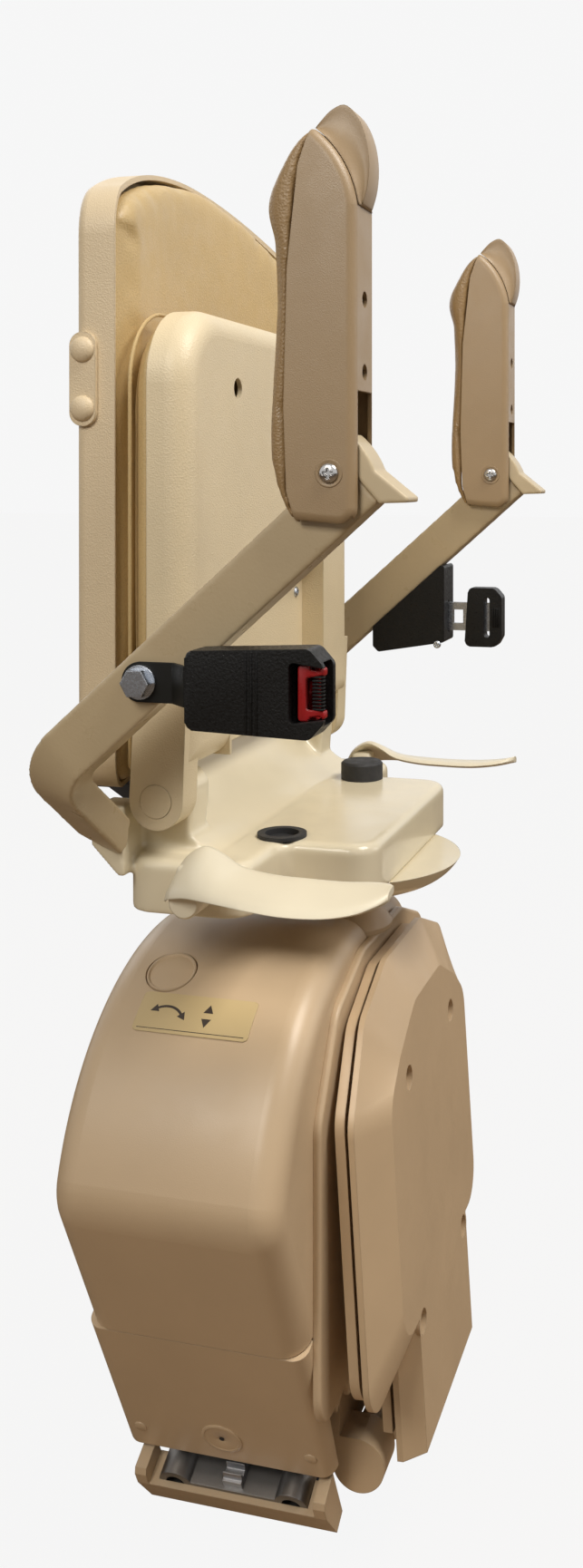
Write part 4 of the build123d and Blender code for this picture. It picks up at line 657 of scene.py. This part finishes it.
def stuffed(node, name, finish, body, slot, voxel, swell, pinned, pressure=4.0, shape=None):
    """A cushion from the space its node holds: cloth blown up by a little pressure, its bed held still."""
    mesh = worn(node_form(node, name), voxel, 3)
    obj = bpy.data.objects.new(name + "_cloth", mesh)
    bpy.context.scene.collection.objects.link(obj)
    bed = obj.vertex_groups.new(name="bed")
    bed.add([v.index for v in mesh.vertices if pinned(v.co)], 1.0, "REPLACE")
    cloth = obj.modifiers.new("cloth", "CLOTH")
    cloth.settings.use_pressure = True
    cloth.settings.uniform_pressure_force = pressure
    cloth.settings.effector_weights.gravity = 0.0
    cloth.settings.vertex_group_mass = "bed"
    cloth.settings.quality = 4
    cloth.settings.tension_stiffness = 12
    cloth.settings.bending_stiffness = 4
    scene = bpy.context.scene
    for step in range(1, CLOTH_FRAMES + 1):
        scene.frame_set(step)
    blown = settled(obj)
    for vertex, moved in zip(mesh.vertices, blown.vertices):
        travel = moved.co - vertex.co
        if travel.length > swell:
            travel *= swell / travel.length
        vertex.co += travel
    scene.frame_set(1)
    bpy.data.objects.remove(obj)
    bpy.data.meshes.remove(blown)
    if shape:
        for vertex in mesh.vertices:
            vertex.co += shape(vertex.co)
    mesh = with_modifiers(mesh, ("SMOOTH", {"factor": 0.5, "iterations": 2}),
                          ("SUBSURF", {"levels": 1, "render_levels": 1}))
    made = piece(name, mesh, finish, body, slot, node, crease=180)
    return made


# The folded seat's outline in (x, z).
SEAT_CORNERS = ((-200, 673.5), (200, 673.5), (200, 1029), (-200, 1029))


def seat_rim(inset, y):
    """Points round the folded seat's edge, drawn in by inset, at y from the swivel axis."""
    signs = ((1, 1), (-1, 1), (-1, -1), (1, -1))
    corners = [(x + inset * sx, z + inset * sz) for (x, z), (sx, sz) in zip(SEAT_CORNERS, signs)]
    outline = rounded_polygon(corners, (4, 4, 60 - inset, 60 - inset), 12)
    points = []
    for (x0, z0), (x1, z1) in zip(outline, outline[1:] + outline[:1]):
        runs = max(1, int(((x1 - x0) ** 2 + (z1 - z0) ** 2) ** 0.5 / 12))
        points += [at(x0 + (x1 - x0) * k / runs, y, z0 + (z1 - z0) * k / runs) for k in range(runs)]
    return points


# Where each pad's bed is held still, in metres: the seat's and the armrests' front, the backrest's rim.
SEAT_BED_Y = POST.y + 0.101
BACK_RIM_X = 0.193
BACK_RIM_Z = 0.662
PAD_BED_Y = POST.y + PIVOT_Y / 1000 + 0.030

stuffed("seat_cushion", "seat_cushion_upholstery", tan_vinyl, "seat", "tan_vinyl", 0.0055, 0.003,
        lambda co: co.y < SEAT_BED_Y)
piece("seat_piping", mesh_of("seat_piping", bead(seat_rim(2.0, 112.0), 0.0016)), tan_vinyl, "seat",
      "tan_vinyl")
stuffed("backrest_cushion", "backrest_upholstery", tan_vinyl, "seat_frame", "tan_vinyl", 0.0055, 0.004,
        lambda co: abs(co.x - POST.x) > BACK_RIM_X or co.z < BACK_RIM_Z)


def palm_rest(side):
    """The low mound that fills the hand, near the armrest's front end."""
    centre = at(side * ARM_HALF_SPACING, PIVOT_Y + 34.0, PIVOT_Z + 182.0)

    def lift(co):
        away_z = (co.z - centre.z) / 0.020
        away_x = (co.x - centre.x) / 0.015
        rear = min(1.0, max(0.0, (co.y - (centre.y - 0.012)) / 0.010))
        height = 0.008 * max(0.0, 1 - away_z**2 * 0.5) ** 2 * max(0.0, 1 - away_x**2 * 0.35) * rear
        return Vector((0.0, height, 0.0))

    return lift


for side, word in SIDES:
    stuffed(word + "_armrest_pad", word + "_armrest_grip", grip_vinyl, word + "_armrest", "grip_vinyl",
            0.003, 0.0025, lambda co: co.y < PAD_BED_Y and co.z > PIVOT_Z / 1000,
            pressure=3.0, shape=palm_rest(side))


# ------------------------------------------------------------------ mouldings with soft edges
def softened(node, name, finish, body, slot, voxel, passes):
    """The node's own form with its edges worn round, as moulding and bending leave them."""
    return piece(name, worn(node_form(node, name), voxel, passes), finish, body, slot, node, crease=180)


softened("seat_base", "seat_base_moulding", cream_gloss, "seat_frame", "cream_gloss", 0.0022, 5)
softened("right_arm_bar", "right_bent_bar", bar_paint, "seat_frame", "bar_paint", 0.0015, 7)
softened("left_arm_bar", "left_bent_bar", bar_paint, "seat_frame", "bar_paint", 0.0015, 7)
softened("arm_bar_caps", "arm_bar_end_caps", cap_plastic, "seat_frame", "beige_shell", 0.0009, 4)


# ------------------------------------------------------------------ backrest bolts
BOLT_Y = 149.0


def bolt_bezel(side):
    """A raised plate on the backrest's flank with two domed caps."""
    outline = rounded_polygon(((-11, -36), (11, -36), (11, 36), (-11, 36)), (10.5,) * 4, 10)

    def place(a, b, height):
        return at(side * (196.0 + height), BOLT_Y + a, 972.5 + b)

    plate = prism(outline, place, 0.0, 7.5, 0.0018, 4)
    caps = [
        turned(((0.0, 0.0), (0.0098, 0.0), (0.0098, 0.0008), (0.0090, 0.0026), (0.0066, 0.0042),
                (0.0034, 0.0050), (0.0, 0.0052)), at(side * 203.4, BOLT_Y, height), (side, 0, 0), 40)
        for height in (950.0, 995.0)
    ]
    return joined(plate, *caps)


piece("back_bolt_bezels", joined(bolt_bezel(-1), bolt_bezel(1)), beige_shell, "seat_frame", "beige_shell",
      "back_bolt_covers")


# ------------------------------------------------------------------ belt buckle
STRAP_Z = 755.2
BUCKLE_X = -291.0
BUCKLE_REAR = 19.5


def buckle_place(a, b, height):
    """a runs forwards from the rear end, b upwards from the middle, height outwards from the middle."""
    return at(BUCKLE_X - height, BUCKLE_REAR - a, STRAP_Z + b)


def buckle_shell():
    outline = rounded_polygon(((0, -27), (88, -30), (98, -19), (98, 19), (88, 30), (0, 26)),
                              (5, 7, 6, 6, 7, 5), 6)
    block = mesh_of("buckle", prism(outline, buckle_place, -13.0, 13.0, 0.0024, 4))
    mouth = mesh_of("mouth", rounded_block(buckle_place(74, -21, 8.4), buckle_place(102, 21, -8.4), 0.001, 2))
    opening = rounded_polygon(((74, -20), (101, -16), (101, 17), (74, 21)), (3, 1, 1, 3), 5)
    window = mesh_of("window", prism(opening, buckle_place, 4.5, 16.0))
    strap_way = mesh_of("strap_way", rounded_block(buckle_place(-2, -14.1, -1.6),
                                                   buckle_place(46, 14.1, 1.6), 0.0004, 1))
    shell = cut(block, mouth, window, strap_way)
    ridge = rounded_polygon(((-0.7, -27.5), (0.7, -27.5), (0.7, 27.0), (-0.7, 27.0)), (0.5,) * 4, 2)
    rib = mesh_of("rib", prism(ridge, lambda a, b, h: Vector((-h, -a, b)) / 1000, 0.0, 1.1, 0.0004, 2))
    ribs = row_of(rib, 3, buckle_place(44, 0, 12.7), Vector((0, -0.0038, 0)), black_plastic)
    return joined(shell, ribs)


def red_button():
    """The release plate: a sloped C that shows in the window and round the mouth."""
    corners = ((78.5, -18.5), (86, -18.5), (86, -15), (94, -14), (94, -18.5), (96.5, -16),
               (96.5, -11.5), (84, -11.5), (84, 11.5), (96.5, 11.5), (96.5, 16), (94, 18.5),
               (94, 14), (86, 15), (86, 18.5), (78.5, 18.5))
    outline = rounded_polygon(corners, (2, 1, 1, 1, 1, 1, 1, 2, 2, 1, 1, 1, 1, 1, 1, 2), 2)
    plate = prism(outline, buckle_place, 2.5, 8.0, 0.0010, 3)
    for vertex in plate.verts:
        front = (at(0, BUCKLE_REAR, 0).y - vertex.co.y) * 1000
        vertex.co.x += max(0.0, front - 84) * 0.00022
    back = rounded_block(buckle_place(80, -18.5, 2.6), buckle_place(90, 18.5, -6.8), 0.0008, 2)
    slit = mesh_of("slit", rounded_block(buckle_place(78, -17.0, 2.55), buckle_place(97, 17.0, -2.55),
                                         0.0002, 1))
    return joined(mesh_of("plate", plate), cut(mesh_of("back", back), slit))


piece("buckle_housing", buckle_shell(), black_plastic, "seat_frame", "black_plastic", "buckle_body")
piece("buckle_release", red_button(), red_plastic, "buckle_button", "red_plastic", "buckle_button")


def mouth_teeth():
    """Fine vertical teeth on the mouth's inner face, behind the window."""
    tooth = mesh_of("tooth", rounded_block(Vector((-0.0030, -0.0040, -0.0007)),
                                           Vector((0.0018, 0.0040, 0.0007)), 0.0004, 2))
    return row_of(tooth, 10, buckle_place(92, -10.6, 3.4), Vector((0, 0, 0.00236)), black_plastic)


# ------------------------------------------------------------------ flap, label and screws
def flap_place(a, b, height):
    """On the lower flap's end face: a towards +Y from its middle, b up the face, height outwards."""
    return on_track(-CARRIAGE_HALF_LENGTH - height, 39.0 + b, CARRIAGE_MIDDLE_Y + a)


FLAP_OUT = flap_place(0, 0, 1) - flap_place(0, 0, 0)
disc = turned(((0.0, -0.0005), (0.0172, -0.0005), (0.0172, 0.0007), (0.0165, 0.0012), (0.0148, 0.0012),
               (0.0142, 0.0007), (0.0036, 0.0007), (0.0030, 0.0003), (0.0028, -0.0003), (0.0, -0.0003)),
              flap_place(0, 0, 0), FLAP_OUT, 64)
dimples = [turned(((0.0, -0.0003), (0.0056, -0.0003), (0.0052, 0.0006), (0.0040, 0.0011), (0.0, 0.0013)),
                  flap_place(y, -5.0, 0), FLAP_OUT, 32) for y in (-74.0, 72.0)]
piece("flap_disc", joined(disc, *dimples), carriage_plastic, "lower_safety_flap", "carriage_plastic")
# A thin black disc laid over the flap's middle stands for its hole: painted shade, a dark sheet where a
# recess would hold shadow.
hole_shade_disc = turned(((0.0, 0.0), (0.0021, 0.0), (0.0021, 0.0003), (0.0, 0.0003)), flap_place(0, 0, 0.5),
              FLAP_OUT, 20)
piece("flap_hole_painted_shade", mesh_of("flap_hole_painted_shade", hole_shade_disc), black_rubber, "lower_safety_flap", "carriage_plastic")

COVER_CENTRE = on_track(COVER_ARC_ALONG, COVER_ARC_ABOVE, 0.0)

# The label's film on the cover, in millimetres. It runs up the arc from the start angle, in degrees.
LABEL_START_ANGLE = 131.4
LABEL_MIDDLE_Y = 8.0
LABEL_HALF_WIDTH = 47.5
LABEL_LOW = 0.6
LABEL_HIGH = 34.0
LABEL_CORNER = 3.0
FILM_FOOT = 0.1
FILM_TOP = 0.8


def cover_place(a, b, height):
    """On the domed lower cover: a towards -Y from the label's middle, b up its arc from its lower edge."""
    angle = radians(LABEL_START_ANGLE) - b / COVER_ARC_RADIUS
    radius = (COVER_ARC_RADIUS + height) / 1000
    return Vector((COVER_CENTRE.x + radius * cos(angle), (LABEL_MIDDLE_Y - a) / 1000,
                   COVER_CENTRE.z + radius * sin(angle)))


def label_sheet():
    """The label's film: strips up the cover's arc, shorter where its corners are rounded."""
    strips = 24
    bm = bmesh.new()
    rows = []
    for k in range(strips + 1):
        b = LABEL_LOW + (LABEL_HIGH - LABEL_LOW) * k / strips
        into_corner = max(0.0, LABEL_CORNER - min(b - LABEL_LOW, LABEL_HIGH - b))
        half = LABEL_HALF_WIDTH - LABEL_CORNER + sqrt(max(0.0, LABEL_CORNER**2 - into_corner**2))
        edges = ((-half, FILM_FOOT), (-half, FILM_TOP), (half, FILM_TOP), (half, FILM_FOOT))
        rows.append([bm.verts.new(cover_place(a, b, height)) for a, height in edges])
    for lower, upper in zip(rows, rows[1:]):
        for k in range(3):
            bm.faces.new((lower[k], lower[k + 1], upper[k + 1], upper[k]))
    return mesh_of("label", bm)


def printed(points):
    """A printed mark on the label: a very thin film of ink in (a, b)."""
    return prism(points, cover_place, 0.75, 0.95)


def turning_arrow():
    """A curved arrow with a head at each end."""
    middle, outer, inner = (-24.0, 6.0), 17.5, 15.5
    low, high = radians(42), radians(118)
    arc = []
    for radius, first, last in ((outer, low, high), (inner, high, low)):
        turns = [first + (last - first) * k / 14 for k in range(15)]
        arc += [(middle[0] + radius * cos(turn), middle[1] + radius * sin(turn)) for turn in turns]
    marks = [printed(arc)]
    for angle, way in ((low, -1), (high, 1)):
        run = Vector((-sin(angle), cos(angle))) * way
        out = Vector((cos(angle), sin(angle)))
        foot = Vector(middle) + out * (outer + inner) / 2
        head = [foot + out * 3.4, foot - out * 3.4, foot + run * 6.4]
        marks.append(printed([(p.x, p.y) for p in head]))
    return marks


marks = turning_arrow() + [
    printed(((6, 20), (14, 20), (10, 27))),
    printed(((6, 15), (14, 15), (10, 8))),
    printed(((-44, 3.2), (44, 3.2), (44, 3.7), (-44, 3.7))),
]
piece("label_film", label_sheet(), label_film, "carriage", "label", "direction_label")
ink = moulded("label_ink", (0.035, 0.022, 0.014, 1.0), 0.5)
piece("label_marks", joined(*marks), ink, "carriage", "label")


def cross_head(radius, height):
    """A pan-head screw with a cross recess, its seat at the origin and its head along +X."""
    head = turned(((0.0, -0.0006), (radius, -0.0006), (radius, height * 0.25), (radius * 0.94, height * 0.55),
                   (radius * 0.74, height * 0.85), (radius * 0.4, height * 0.98), (0.0, height)),
                  Vector((0, 0, 0)), (1, 0, 0), 36)
    arms = []
    for wide, tall in ((0.17, 0.58), (0.58, 0.17)):
        low = Vector((height * 0.35, -radius * wide, -radius * tall))
        high = Vector((height * 1.5, radius * wide, radius * tall))
        arms.append(mesh_of("arm", rounded_block(low, high, radius * 0.05, 1)))
    return cut(mesh_of("head", head), *arms)


def on_pivot(side, outwards):
    """A point on an armrest's pivot axis, outwards to +X from the armrest's middle."""
    return at(side * ARM_HALF_SPACING + outwards, PIVOT_Y, PIVOT_Z)


def pivot_screws():
    """Both armrests' screws: a head in a shallow cup on each flank."""
    heads = []
    screw = cross_head(0.0066, 0.0030)
    head_seat = PAD_HALF_WIDTH + 0.1
    for side in (-1, 1):
        for flank in (1, -1):
            head = screw.copy()
            if flank < 0:
                head.transform(Matrix.Rotation(pi, 4, "Z"))
            head.transform(Matrix.Translation(on_pivot(side, flank * head_seat)))
            heads.append(head)
    rods = [turned(((0.0, 0.0), (0.0040, 0.0), (0.0040, 0.0460), (0.0, 0.0460)),
                   on_pivot(side, -PAD_HALF_WIDTH), (1, 0, 0), 24) for side in (-1, 1)]
    return joined(*heads, *rods)


for side, word in SIDES:
    cups = [
        turned(((0.0070, -0.0002), (0.0070, 0.0001), (0.0078, 0.0002), (0.0088, 0.0005), (0.0094, 0.0004),
                (0.0097, 0.0), (0.0097, -0.0002)), on_pivot(side, flank * PAD_HALF_WIDTH), (flank, 0, 0), 48)
        for flank in (-1, 1)
    ]
    for cup in cups:
        loops = [edge for edge in cup.edges if edge.is_boundary]
        bmesh.ops.bridge_loops(cup, edges=loops)
    piece(word + "_pivot_cups", joined(*cups), arm_shell_painted_shade, word + "_armrest", "beige_shell")
piece("pivot_screw_set", pivot_screws(), chrome, "seat_frame", "chrome", "armrest_pivot_screws")
retractor_screw = cross_head(0.0040, 0.0018)
retractor_screw.transform(Matrix.Translation(at(244.05, -19.5, 722.0)) @ Matrix.Rotation(pi, 4, "Z"))
piece("retractor_screw", retractor_screw, zinc, "seat_frame", "zinc")
pocket_screws = []
for side in (-1, 1):
    pocket_screw = cross_head(0.0052, 0.0022)
    place = Matrix.Translation(at(side * 98.0, 85.05, 787.0))
    pocket_screw.transform(place @ Matrix.Rotation(-pi / 2, 4, "Z"))
    pocket_screws.append(pocket_screw)
piece("pocket_screws", joined(*pocket_screws), zinc, "seat", "zinc")
piece("buckle_teeth", mouth_teeth(), black_plastic, "seat_frame", "black_plastic")


# ------------------------------------------------------------------ toggles, levers and winding cap
def pad_end(radius, angle):
    """A point (y, z) on the armrest's round end, about the armrest's pivot."""
    return Vector((PAD_END_Y + radius * cos(radians(angle)), PAD_END_Z + radius * sin(radians(angle))))


def smooth_run(points, count):
    """Evenly spread points on a smooth line through the given ones."""
    made = []
    last = len(points) - 1
    for k in range(count + 1):
        place = last * k / count
        i = min(int(place), last - 1)
        share = place - i
        before, first = points[max(i - 1, 0)], points[i]
        second, after = points[i + 1], points[min(i + 2, last)]
        made.append([
            0.5 * (2 * b + (c - a) * share + (2 * a - 5 * b + 4 * c - d) * share**2
                   + (3 * b - a - 3 * c + d) * share**3)
            for a, b, c, d in zip(before, first, second, after)
        ])
    return made


def toggle_form(side):
    """A crescent over the armrest's end, its flanks dished between a raised lip and the round end."""
    along = 30
    across = 10
    outer = smooth_run(((-20.0, 179.5), (-23.5, 192), (-24.5, 208), (-22, 224), (-16, 238), (-7.5, 246.0),
                        (2, 243), (9.5, 236.0), (13.0, 232.0)), along)
    low_angle, high_angle = 172.4, 126.9
    inner = [pad_end(79.9, low_angle + (high_angle - low_angle) * k / along) for k in range(along + 1)]
    bm = bmesh.new()
    flanks = []
    for flank in (-1, 1):
        grid = []
        for (y0, z0), (y1, z1) in zip(inner, outer):
            row = []
            for k in range(across + 1):
                share = k / across
                half = 16.6 - 5.0 * share - 2.4 * sin(pi * share)
                y, z = y0 + (y1 - y0) * share, z0 + (z1 - z0) * share
                row.append(bm.verts.new(at(side * ARM_HALF_SPACING + flank * half, PIVOT_Y + y, PIVOT_Z + z)))
            grid.append(row)
        flanks.append(grid)
        for first, second in zip(grid, grid[1:]):
            for k in range(across):
                bm.faces.new((first[k], first[k + 1], second[k + 1], second[k]))
    left, right = flanks
    for edge in (0, across):
        for i in range(along):
            bm.faces.new((left[i][edge], left[i + 1][edge], right[i + 1][edge], right[i][edge]))
    for end in (0, along):
        for k in range(across):
            bm.faces.new((left[end][k], left[end][k + 1], right[end][k + 1], right[end][k]))
    bmesh.ops.remove_doubles(bm, verts=bm.verts, dist=2e-5)
    mesh = mesh_of("toggle", bm)
    return with_modifiers(mesh, ("BEVEL", {"width": 0.0013, "segments": 3, "limit_method": "ANGLE",
                                           "angle_limit": radians(50)}))


def lever_form(side):
    """A dished paddle that droops outwards, its neck and its hub on the lever shaft."""
    stations = smooth_run(((69, 598, 588, 205, 230), (61, 613, 592, 205, 238), (46, 622, 596, 205, 246),
                           (32, 618, 597, 205, 252), (16, 609, 597, 205, 257), (-8, 605, 596, 205, 262),
                           (-34, 604, 595, 205, 265), (-62, 604, 596, 206, 265), (-84, 606, 599, 209, 260),
                           (-98, 608, 603, 217, 250), (-104.5, 609, 606, 226, 242)), 54)
    across = 14
    half_thickness = 2.9
    bm = bmesh.new()
    rings = []
    for y, inner_z, outer_z, inner_x, outer_x in stations:
        ring = []
        for face, gap in ((1, 0.0), (-1, 0.3)):
            for k in range(across + 1)[::face]:
                share = k / across
                x = inner_x + (outer_x - inner_x) * share
                z = inner_z + (outer_z - inner_z) * share**1.6
                swell = half_thickness * sqrt(max(0.0, 1 - (2 * share - 1) ** 6))
                ring.append((x, z + face * swell - gap))
        rings.append([bm.verts.new(at(side * x, y, z)) for x, z in ring])
    count = len(rings[0])
    for first, second in zip(rings, rings[1:]):
        for k in range(count):
            bm.faces.new((first[k], first[(k + 1) % count], second[(k + 1) % count], second[k]))
    bm.faces.new(rings[0])
    bm.faces.new(list(reversed(rings[-1])))
    hub = turned(((0.0, 0.0), (0.0116, 0.0), (0.0122, 0.0010), (0.0122, 0.0275), (0.0108, 0.0295),
                  (0.0, 0.0297)), at(side * 203.2, LEVER_SHAFT_Y, LEVER_SHAFT_Z), (side, 0, 0), 48)
    neck = rounded_block(at(side * 205.0, 42.0, 586.0), at(side * 224.0, 64.0, 612.0), 0.005, 4)
    return joined(mesh_of("paddle", bm), hub, neck)


for side, word in SIDES:
    piece(word + "_rocker", toggle_form(side), arm_shell_painted_shade, word + "_toggle", "beige_shell", word + "_toggle")
    piece(word + "_lever", lever_form(side), cream_lever, "swivel_levers", "cream_lever",
          word + "_swivel_lever", crease=50)

WINDING_LEAN = radians(25.4)
WINDING_OUT = Vector((-sin(WINDING_LEAN), 0, cos(WINDING_LEAN)))
WINDING_SEAT = COVER_CENTRE + WINDING_OUT * 0.1979
WINDING_SEAT.y = 0.043
winding_rim = turned(((0.0, 0.0), (0.0202, 0.0), (0.0202, 0.0012), (0.0197, 0.0022), (0.0186, 0.0022),
                      (0.0178, 0.0013), (0.0172, 0.0003), (0.0, 0.0003)), WINDING_SEAT, WINDING_OUT, 80)
piece("winding_cap_rim", mesh_of("winding_cap_rim", winding_rim), carriage_plastic, "hand_winding_cap",
      "carriage_plastic")


# ------------------------------------------------------------------ belt tongue
TONGUE_Y = -66.0
TONGUE_Z = 750.3


def tongue_grip_form():
    outline = rounded_polygon(((-20, -31), (14, -31), (20, -20), (20, 22), (12, 31), (-16, 31)),
                              (5, 8, 7, 7, 8, 5), 6)

    def place(a, b, height):
        return at(ARM_HALF_SPACING - height, TONGUE_Y - a, TONGUE_Z + b)

    block = mesh_of("grip", prism(outline, place, -9.0, 9.0, 0.0028, 4))
    opening = rounded_polygon(((1, -21), (7, -21), (7, 21), (1, 21)), (3, 3, 3, 3), 5)
    slot = mesh_of("slot", prism(opening, place, -12.0, 12.0))
    way = mesh_of("way", rounded_block(place(-21, -15.1, 1.3), place(14, 15.1, -1.3), 0.0002, 1))
    rib = mesh_of("rib", rounded_block(Vector((-0.0008, -0.0006, -0.010)), Vector((0.0008, 0.0006, 0.010)),
                                       0.0004, 2))
    ribs = row_of(rib, 4, place(10.5, 0, 9.0), Vector((0, -0.0022, 0)), black_plastic)
    return joined(cut(block, slot, way), ribs)


piece("tongue_handle", tongue_grip_form(), black_plastic, "seat_frame", "black_plastic", "tongue_grip")
